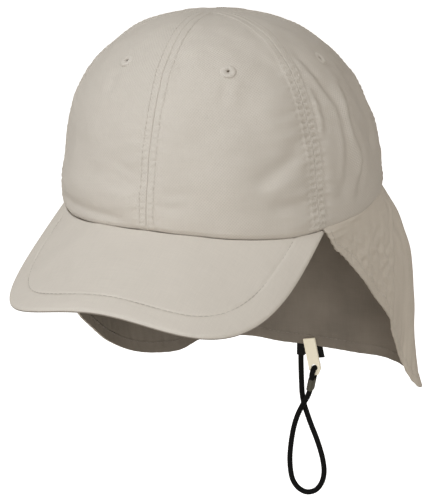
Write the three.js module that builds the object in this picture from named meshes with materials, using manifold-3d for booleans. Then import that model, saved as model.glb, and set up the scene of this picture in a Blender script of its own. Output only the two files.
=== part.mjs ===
// Legionnaire cap: a soft six-panel crown, a curved squarish brim, a long neck flap that hangs
// from the rim behind the brim, and a cord leash whose clip holds the flap's hem.
// Millimetres, +Z up, the wearer looks along -Y and the wearer's left is +X.
// The origin is the middle of the head opening, level with the rim at the sides and back.
import * as THREE from 'three';
import { mergeVertices } from 'three/addons/utils/BufferGeometryUtils.js';
import Module from 'manifold-3d';

const wasm = await Module();
wasm.setup();

// Head opening and crown, measured outside
const headHalfWidth = 87;
const frontLength = 94;
const backLength = 104.5;
const rimEase = 60;
const crownHeight = 101.5;
const apexForward = 17;
const crownWall = 1.6;
const seamGap = 0.4;
const apexHole = 2.4;

// Roundness of the crown's upright profile: 2 is an ellipse, more is squarer
const frontProfile = { rise: 2.26, reach: 2.53 };
const backProfile = { rise: 1.98, reach: 2.35 };

// Crown panels: the turn of each seam from the front, in degrees, positive to the wearer's left
const sideSeamTurn = 60;
const backSeamTurn = 120;
const rearSeamTurn = 180;

// Brim
const brimHalfWidth = 77;
const brimReach = 102.5;
const brimEndBack = 44.5;
const brimSquareness = 3.25;
const brimSlope = 0.5;
const brimCurve = 0.0096;
const brimDrop = 0.7;
const brimThickness = 1.9;

// Neck flap
const flapLength = 135;
const flapWall = 1.4;
const flapStart = 0.8;
const clothGap = 0.3;

// Leash: webbing, clip, crimp and cord
const hemTilt = 13;
const clipLength = 25.5;
const clipWidth = 8.2;
const clipPlate = 1.6;
const clipGrip = 5.4;
const clipChamfer = { across: 2.6, along: 4 };
const cordHoleRadius = 2.2;
const cordHoleInset = 5.3;
const leverWidth = 7.2;
const leverPlate = 1.4;
const leverTailAngle = 24;
const leverTailLength = 3.6;
const pinRadius = 0.7;
const pinBelowHem = 11.6;
const hubRadius = 1.5;
const earWidth = 1;
const hubWidth = 1.6;
const tabWidth = 11.4;
const tabOffset = 1.3;
const tabBelowHem = 9.5;
const tabAboveHem = 8;
const tabThickness = 1;
const anchorSize = { wide: 5.4, deep: 4.4, tall: 10.5 };
const anchorAcross = -8.2;
const anchorBelowHem = 8.7;
const cordDiameter = 3.6;
const crimpSize = { wide: 4.2, deep: 7.9, tall: 8.4 };
const crimpTilt = 10.3;
const crimpBelowHole = 8;
const crimpFlat = 0.2;

// Soft forms of the crown: where each lies, how far it spreads, and how far it stands out as a
// share of headHalfWidth
const crownForms = [
  { turn: -38, rise: 0.08, turnSpread: 24, riseSpread: 0.05, out: 0.0299 },
  { turn: -8, rise: 0.07, turnSpread: 12, riseSpread: 0.05, out: 0.0138 },
  { turn: 30, rise: 0.12, turnSpread: 16, riseSpread: 0.07, out: 0.0115 },
  { turn: 60, rise: 0.22, turnSpread: 5, riseSpread: 0.2, out: -0.0161 },
  { turn: 82, rise: 0.3, turnSpread: 6, riseSpread: 0.25, out: 0.0138 },
  { turn: 96, rise: 0.34, turnSpread: 5, riseSpread: 0.22, out: -0.0126 },
  { turn: 44, rise: 0.34, turnSpread: 6, riseSpread: 0.1, out: 0.0103 },
  { turn: 0, rise: 0.3, turnSpread: 4, riseSpread: 0.25, out: -0.0092 },
  { turn: -62, rise: 0.36, turnSpread: 38, riseSpread: 0.18, out: 0.0276 },
  { turn: 140, rise: 0.2, turnSpread: 14, riseSpread: 0.12, out: 0.0138 },
  { turn: -130, rise: 0.22, turnSpread: 14, riseSpread: 0.12, out: 0.0138 },
];

// The flap's ribs. along is where a rib leaves the rim, from 0 at the brim's left end round the
// back to 1 at its right end; side, back and drop place its lower end as shares of headHalfWidth,
// backLength and flapLength; flare and belly bow its upper and lower third outwards, as shares of
// its own length.
const flapRibs = [
  { along: 0, side: 0.905, back: -0.3, drop: 0.13, flare: 0.02, belly: 0.0 },
  { along: 0.0307, side: 0.92, back: -0.2, drop: 0.18, flare: 0.03, belly: 0.0 },
  { along: 0.0687, side: 0.935, back: -0.075, drop: 0.252, flare: 0.04, belly: 0.0 },
  { along: 0.111, side: 0.95, back: 0.115, drop: 0.367, flare: 0.04, belly: 0.01 },
  { along: 0.1533, side: 0.957, back: 0.32, drop: 0.49, flare: 0.04, belly: 0.02 },
  { along: 0.1956, side: 0.962, back: 0.53, drop: 0.62, flare: 0.05, belly: 0.03 },
  { along: 0.2209, side: 0.945, back: 0.64, drop: 0.72, flare: 0.06, belly: 0.03 },
  { along: 0.2421, side: 0.92, back: 0.84, drop: 0.88, flare: 0.11, belly: 0.04 },
  { along: 0.2632, side: 0.95, back: 0.955, drop: 1.005, flare: 0.145, belly: 0.03 },
  { along: 0.2844, side: 0.985, back: 1.06, drop: 1.08, flare: 0.165, belly: 0.01 },
  { along: 0.3055, side: 0.965, back: 1.165, drop: 1.095, flare: 0.165, belly: 0.0 },
  { along: 0.3309, side: 0.85, back: 1.205, drop: 1.035, flare: 0.14, belly: 0.03 },
  { along: 0.3647, side: 0.68, back: 1.198, drop: 1.0, flare: 0.11, belly: 0.05 },
  { along: 0.407, side: 0.46, back: 1.196, drop: 1.0, flare: 0.09, belly: 0.05 },
  { along: 0.445, side: 0.28, back: 1.196, drop: 0.995, flare: 0.09, belly: 0.05 },
  { along: 0.4873, side: 0.092, back: 1.196, drop: 0.995, flare: 0.09, belly: 0.05 },
  { along: 0.5296, side: -0.11, back: 1.196, drop: 0.995, flare: 0.09, belly: 0.05 },
  { along: 0.5761, side: -0.33, back: 1.165, drop: 0.985, flare: 0.09, belly: 0.05 },
  { along: 0.6226, side: -0.52, back: 1.08, drop: 0.975, flare: 0.09, belly: 0.05 },
  { along: 0.6691, side: -0.68, back: 0.93, drop: 0.965, flare: 0.08, belly: 0.05 },
  { along: 0.7156, side: -0.79, back: 0.755, drop: 0.99, flare: 0.07, belly: 0.05 },
  { along: 0.7621, side: -0.88, back: 0.58, drop: 0.97, flare: 0.06, belly: 0.04 },
  { along: 0.8087, side: -0.95, back: 0.4, drop: 0.92, flare: 0.05, belly: 0.04 },
  { along: 0.8552, side: -0.985, back: 0.2, drop: 0.83, flare: 0.04, belly: 0.03 },
  { along: 0.9017, side: -0.99, back: 0.03, drop: 0.74, flare: 0.04, belly: 0.03 },
  { along: 0.9482, side: -0.98, back: -0.11, drop: 0.65, flare: 0.03, belly: 0.02 },
  { along: 1, side: -0.965, back: -0.23, drop: 0.57, flare: 0.02, belly: 0.02 },
];

// Where the clip holds the hem, as a share of the way through the ribs
const clipShare = 0.577;

// The cord's route, from the webbing anchor down round the loop and up to the crimp, measured from
// the hem's inner face where the clip sits: across, behind and above
const cordLoopRoute = [
  [-8.6, 3.8, -9],
  [-8.4, 3.8, -15],
  [-8.1, 3.8, -22],
  [-7.7, 3.8, -29],
  [-7.2, 3.8, -36],
  [-5.8, 3.7, -43.2],
  [-3, 3.4, -50.7],
  [0, 3, -57.7],
  [3.6, 2.6, -65.3],
  [7, 2.2, -73.7],
  [9.6, 1.8, -82.2],
  [10.6, 1.5, -90],
  [9.3, 1.2, -97.6],
  [5, 0.9, -104.2],
  [-1.4, 0.6, -106.8],
  [-7.2, 0.3, -104.8],
  [-11.2, 0, -99.7],
  [-13, -0.2, -92.7],
  [-13.6, -0.5, -83.2],
  [-13.1, -0.7, -74.7],
  [-12.2, -0.8, -67.2],
  [-10.7, -1, -59],
  [-8.2, -1.1, -50.5],
  [-4.8, -1.2, -42.7],
  [-1.4, -1.1, -36],
  [0.3, -1.1, -30.85],
];

// The short eye of the same cord, from the crimp's top through the clip's hole and back to it
const cordEyeRoute = [
  [2, -3.2, -21.5],
  [2.35, -3.9, -19.6],
  [2.7, -4.4, -17.65],
  [3.13, -3.43, -15.35],
  [3.3, -1.1, -14.4],
  [3.13, 1.23, -15.35],
  [2.7, 2.2, -17.65],
  [2.35, 1.7, -19.6],
  [2, 1, -21.5],
];

// Mesh density
const panelColumns = 10;
const panelRows = 13;
const brimColumns = 32;
const brimRows = 6;
const flapColumnsPerRib = 3;
const flapRows = 10;
const cordSides = 8;
const cordStep = 2;
const eyeSteps = 14;

const rad = THREE.MathUtils.degToRad;
const smooth = THREE.MathUtils.smoothstep;

// Height of the brim's upper face over a point of the plan
function brimHeight(x, y) {
  return -brimDrop + brimSlope * (y + frontLength) - (brimCurve * x * x) / 2;
}

// The turn at which the brim's end meets the rim
const brimEndTurn = Math.acos(brimEndBack / frontLength);

// Plan of the rim at a turn, drawn in by inset
function rimPlan(turn, inset = 0) {
  const length = Math.cos(turn) > 0 ? frontLength : backLength;
  return {
    x: (headHalfWidth - inset) * Math.sin(turn),
    y: -(length - inset) * Math.cos(turn),
  };
}

// The rim follows the brim in front and eases to level behind it
function rimHeight(turn) {
  const away = Math.abs(Math.atan2(Math.sin(turn), Math.cos(turn)));
  if (away <= brimEndTurn) {
    const { x, y } = rimPlan(turn);
    return brimHeight(x, y);
  }
  const end = rimPlan(brimEndTurn);
  const level = smooth(rimPlan(turn).y, end.y, end.y + rimEase);
  return brimHeight(end.x, end.y) * (1 - level);
}

// Outward push of the crown's soft forms at a turn and a rise
function crownPush(turn, rise) {
  return crownForms.reduce((sum, form) => {
    const apart = turn - rad(form.turn);
    const away = Math.atan2(Math.sin(apart), Math.cos(apart)) / rad(form.turnSpread);
    const above = (rise - form.rise) / form.riseSpread;
    return sum + form.out * headHalfWidth * Math.exp(-away * away - above * above);
  }, 0);
}

// A point of the crown: turn round the head, rise from 0 at the rim to 1 at the apex
function crownPoint(turn, rise, inset = 0) {
  const behind = smooth(0.5 - 0.5 * (Math.cos(turn) / 0.6), 0, 1);
  const power = (key) => THREE.MathUtils.lerp(frontProfile[key], backProfile[key], behind);
  const lift = (rise * Math.PI) / 2;
  const reach = Math.cos(lift) ** (2 / power('reach'));
  const climb = Math.sin(lift) ** (2 / power('rise'));
  const plan = rimPlan(turn, inset);
  const point = new THREE.Vector3(
    plan.x * reach,
    plan.y * reach - apexForward * (1 - reach),
    (rimHeight(turn) + clothGap) * (1 - climb) + (crownHeight - inset) * climb,
  );
  const away = new THREE.Vector3(
    Math.sin(turn) * reach,
    -Math.cos(turn) * reach,
    climb,
  ).normalize();
  const fade = smooth(rise, 0, 0.06);
  return point.addScaledVector(away, crownPush(turn, rise) * fade);
}

// A closed body between two grids of points, the outer one and the inner one, row by row
function shellBetween(outer, inner) {
  const rows = outer.length;
  const columns = outer[0].length;
  const positions = [...outer.flat(), ...inner.flat()].flatMap((p) => [p.x, p.y, p.z]);
  const at = (side, row, column) => side * rows * columns + row * columns + column;
  const faces = [];
  const quad = (a, b, c, d) => faces.push(a, b, c, a, c, d);
  for (let r = 0; r < rows - 1; r += 1) {
    for (let c = 0; c < columns - 1; c += 1) {
      quad(at(0, r, c), at(0, r, c + 1), at(0, r + 1, c + 1), at(0, r + 1, c));
      quad(at(1, r, c), at(1, r + 1, c), at(1, r + 1, c + 1), at(1, r, c + 1));
    }
  }
  for (let c = 0; c < columns - 1; c += 1) {
    quad(at(0, 0, c), at(1, 0, c), at(1, 0, c + 1), at(0, 0, c + 1));
    quad(at(0, rows - 1, c), at(0, rows - 1, c + 1), at(1, rows - 1, c + 1), at(1, rows - 1, c));
  }
  for (let r = 0; r < rows - 1; r += 1) {
    quad(at(0, r, 0), at(0, r + 1, 0), at(1, r + 1, 0), at(1, r, 0));
    quad(at(0, r, columns - 1), at(1, r, columns - 1), at(1, r + 1, columns - 1), at(0, r + 1, columns - 1));
  }
  return facingOut(positions, faces);
}

// A geometry whose faces are turned to point out of the body
function facingOut(positions, faces) {
  const corner = (i) => new THREE.Vector3().fromArray(positions, faces[i] * 3);
  let volume = 0;
  for (let i = 0; i < faces.length; i += 3) {
    volume += corner(i).dot(corner(i + 1).cross(corner(i + 2)));
  }
  const geometry = new THREE.BufferGeometry();
  geometry.setAttribute('position', new THREE.Float32BufferAttribute(positions, 3));
  geometry.setIndex(volume < 0 ? faces.reverse() : faces);
  geometry.computeVertexNormals();
  return geometry;
}

// A grid of points moved back by a wall's thickness along the grid's own normals
function innerWall(grid, wall, inwards) {
  const step = (list, i) => [list[Math.max(i - 1, 0)], list[Math.min(i + 1, list.length - 1)]];
  return grid.map((row, r) =>
    row.map((point, c) => {
      const [left, right] = step(row, c);
      const [above, below] = step(grid, r).map((line) => line[c]);
      const across = new THREE.Vector3().subVectors(right, left);
      const down = new THREE.Vector3().subVectors(below, above);
      const normal = across.cross(down).normalize();
      return point.clone().addScaledVector(normal, inwards * wall);
    }),
  );
}

// One crown panel between two seams, in degrees
function crownPanel(fromTurn, toTurn) {
  const grid = (inset) => {
    const rows = [];
    for (let r = 0; r <= panelRows; r += 1) {
      const rise = (r / panelRows) * riseNearApex();
      const reach = crownReach(rad((fromTurn + toTurn) / 2), rise);
      const trim = seamGap / 2 / reach;
      const start = rad(fromTurn) + trim;
      const end = rad(toTurn) - trim;
      const row = [];
      for (let c = 0; c <= panelColumns; c += 1) {
        row.push(crownPoint(THREE.MathUtils.lerp(start, end, c / panelColumns), rise, inset));
      }
      rows.push(row);
    }
    return rows;
  };
  return shellBetween(grid(0), grid(crownWall));
}

// Distance of the crown from its upright axis at a turn and a rise
function crownReach(turn, rise) {
  const point = crownPoint(turn, rise);
  const share = Math.cos((rise * Math.PI) / 2) ** (2 / frontProfile.reach);
  return Math.hypot(point.x, point.y + apexForward * (1 - share));
}

// The rise at which the panels end, round a hole that the seams' stitching closes
function riseNearApex() {
  const share = apexHole / 2 / headHalfWidth;
  return (2 / Math.PI) * Math.acos(share ** (frontProfile.reach / 2));
}

// The brim's outer edge, at a heading from the middle of its straight back line
function brimEdge(heading) {
  const power = brimSquareness;
  const across = Math.abs(Math.sin(heading)) ** power;
  const along = Math.abs(Math.cos(heading)) ** power;
  const length = (across + along) ** (-1 / power);
  return {
    x: brimHalfWidth * Math.sin(heading) * length,
    y: -brimEndBack - brimReach * Math.cos(heading) * length,
  };
}

// The brim: a thin curved sheet from under the crown's wall to its squarish edge
function brimGeometry() {
  const top = [];
  for (let r = 0; r <= brimRows + 1; r += 1) {
    const row = [];
    for (let c = 0; c <= brimColumns; c += 1) {
      const share = (c / brimColumns) * 2 - 1;
      const turn = share * brimEndTurn;
      const plan = rimPlan(turn, r === 0 ? crownWall : 0);
      if (r < 2) {
        row.push(new THREE.Vector3(plan.x, plan.y, rimHeight(turn)));
      } else {
        const edge = brimEdge((share * Math.PI) / 2);
        const out = (r - 1) / brimRows;
        const x = THREE.MathUtils.lerp(plan.x, edge.x, out);
        const y = THREE.MathUtils.lerp(plan.y, edge.y, out);
        row.push(new THREE.Vector3(x, y, brimHeight(x, y)));
      }
    }
    top.push(row);
  }
  const under = top.map((row) => row.map((p) => new THREE.Vector3(p.x, p.y, p.z - brimThickness)));
  return shellBetween(top, under);
}

// A rib's named shares between the listed ribs, by a Catmull-Rom curve through their values
function ribAt(place) {
  const first = Math.min(Math.floor(place), flapRibs.length - 2);
  const near = [-1, 0, 1, 2].map((i) => {
    const index = THREE.MathUtils.clamp(first + i, 0, flapRibs.length - 1);
    return flapRibs[index];
  });
  const t = place - first;
  const curve = (key) => {
    const [a, b, c, d] = near.map((rib) => rib[key]);
    const slopeB = (c - a) / 2;
    const slopeC = (d - b) / 2;
    const square = t * t;
    const cube = square * t;
    const start = b * (2 * cube - 3 * square + 1) + slopeB * (cube - 2 * square + t);
    return start + c * (3 * square - 2 * cube) + slopeC * (cube - square);
  };
  return Object.fromEntries(Object.keys(flapRibs[0]).map((key) => [key, curve(key)]));
}

// The lower end of a rib
function ribEnd(rib) {
  return new THREE.Vector3(
    rib.side * headHalfWidth,
    rib.back * backLength,
    -rib.drop * flapLength,
  );
}

// A rib of the flap as a bowed curve from the rim to the flap's edge
function ribCurve(rib) {
  const startTurn = brimEndTurn + flapStart / headHalfWidth;
  const turn = THREE.MathUtils.lerp(startTurn, 2 * Math.PI - startTurn, rib.along);
  const plan = rimPlan(turn);
  const start = new THREE.Vector3(plan.x, plan.y, rimHeight(turn));
  const end = ribEnd(rib);
  const third = new THREE.Vector3().subVectors(end, start).divideScalar(3);
  const length = start.distanceTo(end);
  const outward = new THREE.Vector3(plan.x / headHalfWidth ** 2, plan.y / backLength ** 2, 0);
  outward.normalize();
  const upper = start.clone().add(third).addScaledVector(outward, rib.flare * length);
  const lower = end.clone().sub(third).addScaledVector(outward, rib.belly * length);
  return new THREE.CubicBezierCurve3(start, upper, lower, end);
}

// The neck flap: one sheet lofted through the ribs
function flapGeometry() {
  const columns = (flapRibs.length - 1) * flapColumnsPerRib;
  const curves = [];
  for (let c = 0; c <= columns; c += 1) {
    curves.push(ribCurve(ribAt(c / flapColumnsPerRib)));
  }
  const outer = [];
  for (let r = 0; r <= flapRows; r += 1) {
    outer.push(curves.map((curve) => curve.getPoint(r / flapRows)));
  }
  const inner = innerWall(outer, flapWall, 1);
  inner[0].forEach((point, c) => point.setZ(outer[0][c].z));
  return shellBetween(outer, inner);
}

// A closed geometry as a solid that can be joined and cut
function solid(geometry) {
  const bare = geometry.index ? geometry.toNonIndexed() : geometry.clone();
  bare.deleteAttribute('normal');
  bare.deleteAttribute('uv');
  const merged = mergeVertices(bare, 1e-4);
  const mesh = new wasm.Mesh({
    numProp: 3,
    vertProperties: new Float32Array(merged.attributes.position.array),
    triVerts: new Uint32Array(merged.index.array),
  });
  return new wasm.Manifold(mesh);
}

// A joined or cut solid as a geometry again
function geometryOf(body) {
  const mesh = body.getMesh();
  const geometry = new THREE.BufferGeometry();
  geometry.setAttribute('position', new THREE.Float32BufferAttribute(mesh.vertProperties, 3));
  geometry.setIndex(Array.from(mesh.triVerts));
  geometry.computeVertexNormals();
  return geometry;
}

// A box between two corners
function boxBetween(low, high) {
  const size = high.map((value, i) => value - low[i]);
  const middle = high.map((value, i) => (value + low[i]) / 2);
  return new THREE.BoxGeometry(...size).translate(...middle);
}

// A cylinder along X
function rodAcross(radius, length, y, z) {
  return new THREE.CylinderGeometry(radius, radius, length, 16).rotateZ(Math.PI / 2).translate(0, y, z);
}

// Depths behind the hem's inner face, in the clip's own frame
const plateBack = -clothGap;
const plateFront = plateBack - clipPlate;
const tabFront = flapWall + clothGap;
const tabBack = tabFront + tabThickness;
const leverFront = tabBack + clothGap;
const pinDepth = leverFront - hubRadius;

// Front plate of the clip: chamfered tail, cord hole and two ears that carry the pin
function clipFrontGeometry() {
  const half = clipWidth / 2;
  const foot = clipGrip - clipLength;
  const outline = new THREE.Shape();
  outline.moveTo(-half, clipGrip);
  outline.lineTo(-half, foot + clipChamfer.along);
  outline.lineTo(-half + clipChamfer.across, foot);
  outline.lineTo(half - clipChamfer.across, foot);
  outline.lineTo(half, foot + clipChamfer.along);
  outline.lineTo(half, clipGrip);
  outline.closePath();
  const hole = new THREE.Path();
  hole.absarc(0, foot + cordHoleInset, cordHoleRadius, 0, 2 * Math.PI, true);
  outline.holes.push(hole);
  const plate = new THREE.ExtrudeGeometry(outline, { depth: clipPlate, bevelEnabled: false, curveSegments: 16 });
  plate.rotateX(Math.PI / 2).translate(0, plateBack, 0);
  let body = solid(plate);
  for (const side of [-1, 1]) {
    const middle = side * (hubWidth / 2 + clothGap + earWidth / 2);
    const ear = rodAcross(hubRadius, earWidth, pinDepth, -pinBelowHem).translate(middle, 0, 0);
    const root = boxBetween(
      [middle - earWidth / 2, (plateFront + plateBack) / 2, -pinBelowHem - hubRadius * 0.6],
      [middle + earWidth / 2, pinDepth, -pinBelowHem + hubRadius * 0.6],
    );
    body = body.add(solid(ear)).add(solid(root));
  }
  return geometryOf(body.subtract(solid(pinBore())));
}

// The bore through the ears and the hub
function pinBore() {
  return rodAcross(pinRadius + clothGap / 2, clipWidth, pinDepth, -pinBelowHem);
}

// Rear jaw of the clip: a plate on the hem, a hub on the pin and a finger tail leaning back
function clipLeverGeometry() {
  const half = hubWidth / 2;
  const jawHalf = leverWidth / 2;
  const jawFoot = -pinBelowHem + hubRadius + 2 * clothGap;
  const jaw = boxBetween(
    [-jawHalf, leverFront, jawFoot],
    [jawHalf, leverFront + leverPlate, clipGrip],
  );
  const neck = boxBetween(
    [-half, leverFront, -pinBelowHem - hubRadius],
    [half, leverFront + leverPlate, jawFoot + leverPlate],
  );
  const hub = rodAcross(hubRadius, 2 * half, pinDepth, -pinBelowHem);
  const web = boxBetween(
    [-half, pinDepth, -pinBelowHem - hubRadius * 0.6],
    [half, leverFront + leverPlate, -pinBelowHem + hubRadius * 0.6],
  );
  const tail = boxBetween([-2 * half, 0, -leverTailLength], [2 * half, leverPlate, 0]);
  tail.rotateX(rad(leverTailAngle));
  tail.translate(0, leverFront + clothGap, -pinBelowHem - hubRadius + leverPlate / 2);
  const body = [jaw, neck, hub, web, tail].map(solid).reduce((sum, piece) => sum.add(piece));
  return geometryOf(body.subtract(solid(pinBore())));
}

// A smooth tube of the cord's thickness through a list of points
function cordTube(route, steps) {
  const path = new THREE.CatmullRomCurve3(route.map((p) => new THREE.Vector3(...p)));
  const section = new THREE.Shape();
  for (let i = 0; i < cordSides; i += 1) {
    const angle = ((i + 0.5) / cordSides) * 2 * Math.PI;
    const spot = [Math.cos(angle), Math.sin(angle)].map((value) => (value * cordDiameter) / 2);
    if (i === 0) section.moveTo(...spot);
    else section.lineTo(...spot);
  }
  section.closePath();
  const count = steps ?? Math.round(path.getLength() / (cordStep * cordDiameter));
  return new THREE.ExtrudeGeometry(section, { extrudePath: path, steps: count, bevelEnabled: false });
}

// The crimp: a short rounded sleeve closed on both strands of the eye
function crimpGeometry() {
  const { wide, deep, tall } = crimpSize;
  const corner = (wide - crimpFlat) / 2;
  const x = wide / 2 - corner;
  const y = deep / 2 - corner;
  const outline = new THREE.Shape();
  outline.absarc(x, y, corner, 0, Math.PI / 2);
  outline.absarc(-x, y, corner, Math.PI / 2, Math.PI);
  outline.absarc(-x, -y, corner, Math.PI, 1.5 * Math.PI);
  outline.absarc(x, -y, corner, 1.5 * Math.PI, 2 * Math.PI);
  const sleeve = new THREE.ExtrudeGeometry(outline, { depth: tall, bevelEnabled: false, curveSegments: 5 });
  return sleeve.translate(0, 0, -crimpBelowHole - tall);
}

// Finishes
const paint = (color, roughness, metalness = 0) => () =>
  new THREE.MeshStandardMaterial({ color, roughness, metalness, side: THREE.DoubleSide });
const stoneCloth = paint(0xc4b8a8, 0.85);
const flapCloth = paint(0xa89c8a, 0.88);
const blackWebbing = paint(0x141414, 0.8);
const creamPlastic = paint(0xf6e6c8, 0.35);
const blackCord = paint(0x101010, 0.75);
const oliveSleeve = paint(0x514d3e, 0.5);
const steelPin = paint(0xb8b8b4, 0.35, 0.9);

function named(name, geometry, finish) {
  const mesh = new THREE.Mesh(geometry, finish());
  mesh.name = name;
  return mesh;
}

// Crown, brim and flap
const cap = new THREE.Group();
const panels = [
  { name: 'crown_front_left', from: 0, to: sideSeamTurn },
  { name: 'crown_side_left', from: sideSeamTurn, to: backSeamTurn },
  { name: 'crown_back_left', from: backSeamTurn, to: rearSeamTurn },
  { name: 'crown_back_right', from: -rearSeamTurn, to: -backSeamTurn },
  { name: 'crown_side_right', from: -backSeamTurn, to: -sideSeamTurn },
  { name: 'crown_front_right', from: -sideSeamTurn, to: 0 },
];
for (const { name, from, to } of panels) {
  cap.add(named(name, crownPanel(from, to), stoneCloth));
}
cap.add(named('brim', brimGeometry(), stoneCloth));
cap.add(named('neck_flap', flapGeometry(), flapCloth));

// The leash hangs from the flap's hem: its frame sits on the hem's inner face
const hemPoint = ribEnd(ribAt(clipShare * (flapRibs.length - 1)));
const leash = new THREE.Group();
leash.position.set(hemPoint.x, hemPoint.y - flapWall, hemPoint.z);
cap.add(leash);

const clip = new THREE.Group();
clip.rotation.y = rad(-hemTilt);
leash.add(clip);
clip.add(named('clip_front', clipFrontGeometry(), creamPlastic));
clip.add(named('clip_lever', clipLeverGeometry(), creamPlastic));
const pinLength = hubWidth + 2 * (clothGap + earWidth);
clip.add(named('clip_pin', rodAcross(pinRadius, pinLength, pinDepth, -pinBelowHem), steelPin));
const tabMiddle = tabOffset - tabWidth / 2;
const tab = boxBetween(
  [tabMiddle, tabFront, -tabBelowHem],
  [tabMiddle + tabWidth, tabBack, tabAboveHem],
);
clip.add(named('hem_tab', tab, blackWebbing));

const anchor = boxBetween(
  [anchorAcross - anchorSize.wide / 2, tabFront, -anchorBelowHem],
  [anchorAcross + anchorSize.wide / 2, tabFront + anchorSize.deep, -anchorBelowHem + anchorSize.tall],
);
leash.add(named('cord_anchor', anchor, blackWebbing));
leash.add(named('leash_cord', cordTube(cordLoopRoute), blackCord));
leash.add(named('leash_eye', cordTube(cordEyeRoute, eyeSteps), blackCord));

// The crimp's frame sits in the clip's cord hole and leans with the cord
const holeBelow = clipLength - clipGrip - cordHoleInset;
const crimp = new THREE.Group();
crimp.position.set(
  holeBelow * Math.sin(rad(hemTilt)),
  plateBack - clipPlate / 2,
  -holeBelow * Math.cos(rad(hemTilt)),
);
crimp.rotation.y = rad(crimpTilt);
leash.add(crimp);
crimp.add(named('cord_crimp', crimpGeometry(), oliveSleeve));

export default cap;
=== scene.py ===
"""A legionnaire cap: the cloth, stitching, leash and clip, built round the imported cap.

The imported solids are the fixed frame. Each cloth solid is replaced by a finer sheet of the same
form with its seams, puckers and folds, and the small hard pieces are rounded copies of their solids.
Lengths are in metres, +Z is up, the wearer looks along -Y and the wearer's left is +X.
"""

import logging
import math
from dataclasses import dataclass, field
from enum import Enum

import bmesh
import bpy
import numpy as np
from mathutils import Matrix, Vector


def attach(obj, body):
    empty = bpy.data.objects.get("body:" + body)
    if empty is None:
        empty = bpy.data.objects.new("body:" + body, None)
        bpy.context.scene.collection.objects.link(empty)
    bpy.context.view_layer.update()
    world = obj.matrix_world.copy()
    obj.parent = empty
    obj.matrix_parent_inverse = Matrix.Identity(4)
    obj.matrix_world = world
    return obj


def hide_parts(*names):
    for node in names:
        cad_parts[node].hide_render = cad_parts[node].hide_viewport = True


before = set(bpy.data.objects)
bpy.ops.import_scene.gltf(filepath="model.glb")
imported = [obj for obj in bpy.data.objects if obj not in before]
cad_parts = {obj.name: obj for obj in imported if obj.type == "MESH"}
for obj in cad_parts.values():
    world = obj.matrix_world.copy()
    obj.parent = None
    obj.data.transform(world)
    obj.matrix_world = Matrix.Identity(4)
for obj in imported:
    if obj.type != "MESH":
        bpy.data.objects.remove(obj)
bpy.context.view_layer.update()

Array = np.ndarray
log = logging.getLogger("legionnaire_cap")
JOIN_DISTANCE = 1e-6
FAR = 1e9


class Grain(Enum):
    """How a cloth is woven."""

    DOBBY = "small raised dots in a diamond lattice on a plain ground"
    PLAIN = "plain weave"


class FoldForm(Enum):
    """The section of a fold."""

    RIDGE = "stands up or dips on both sides alike"
    STEP = "high on its left and low on its right"


def smooth_step(value: Array, low: float, high: float) -> Array:
    """Ease from 0 at low to 1 at high.

    Args:
        value: The numbers to ease.
        low: Where the ease starts.
        high: Where it ends.

    Returns:
        The eased shares, from 0 to 1.
    """
    share = np.clip((np.asarray(value, float) - low) / (high - low), 0.0, 1.0)
    return share * share * (3.0 - 2.0 * share)


def bell(value: Array, width: float) -> Array:
    """A bell curve of height 1 about 0.

    Args:
        value: Distances from the middle.
        width: The distance at which the curve has fallen to 1/e.

    Returns:
        The curve's heights.
    """
    return np.exp(-((np.asarray(value, float) / width) ** 2))


def nearest_turn(turn: Array, middle: float) -> Array:
    """Turns measured from a middle turn the short way round, in radians."""
    apart = np.asarray(turn, float) - middle
    return np.arctan2(np.sin(apart), np.cos(apart))


def run_along(points: Array) -> Array:
    """Lengths run along a line of points, from 0 at its first."""
    steps = np.linalg.norm(np.diff(points, axis=0), axis=1)
    return np.concatenate([[0.0], np.cumsum(steps)])


def unit(vectors: Array) -> Array:
    """Vectors of length 1 in the same directions."""
    return vectors / np.linalg.norm(vectors, axis=-1, keepdims=True)


def crowded_ends(length: float, fine: float, coarse: float, reach: float) -> Array:
    """Shares from 0 to 1 that lie close together near both ends.

    Args:
        length: The length that the shares divide.
        fine: The step near the ends.
        coarse: The largest step, in the middle.
        reach: How far from each end the fine step lasts.

    Returns:
        The shares, in rising order.
    """
    places = []
    place, step = 0.0, fine
    while place < length / 2:
        places.append(place)
        if place > reach:
            step = min(step * 1.25, coarse)
        place += step
    half = np.array(places) / length
    return np.concatenate([half, 1.0 - half[::-1]])


@dataclass(frozen=True)
class Crumple:
    """Soft unevenness of cloth, as a sum of slow waves that run in many directions.

    Attributes:
        seed: Chooses the waves.
        wavelength: Their middle length.
        height: The unevenness from its mean.
        stretch: How much longer the waves are along the cloth than across it.
        count: The number of waves.
    """

    seed: int
    wavelength: float
    height: float
    stretch: float = 1.0
    count: int = 14

    def relief(self, across: Array, along: Array) -> Array:
        """Height of the unevenness.

        Args:
            across: Places across the cloth.
            along: Places along it.

        Returns:
            The heights.
        """
        rng = np.random.default_rng(self.seed)
        total = np.zeros(np.shape(across))
        for _ in range(self.count):
            heading = rng.uniform(0.0, math.pi)
            number = 2.0 * math.pi / (self.wavelength * rng.uniform(0.6, 1.7))
            phase = rng.uniform(0.0, 2.0 * math.pi)
            run = math.cos(heading) * across + math.sin(heading) * along / self.stretch
            total = total + np.sin(number * run + phase)
        return self.height * total / math.sqrt(self.count)


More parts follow.
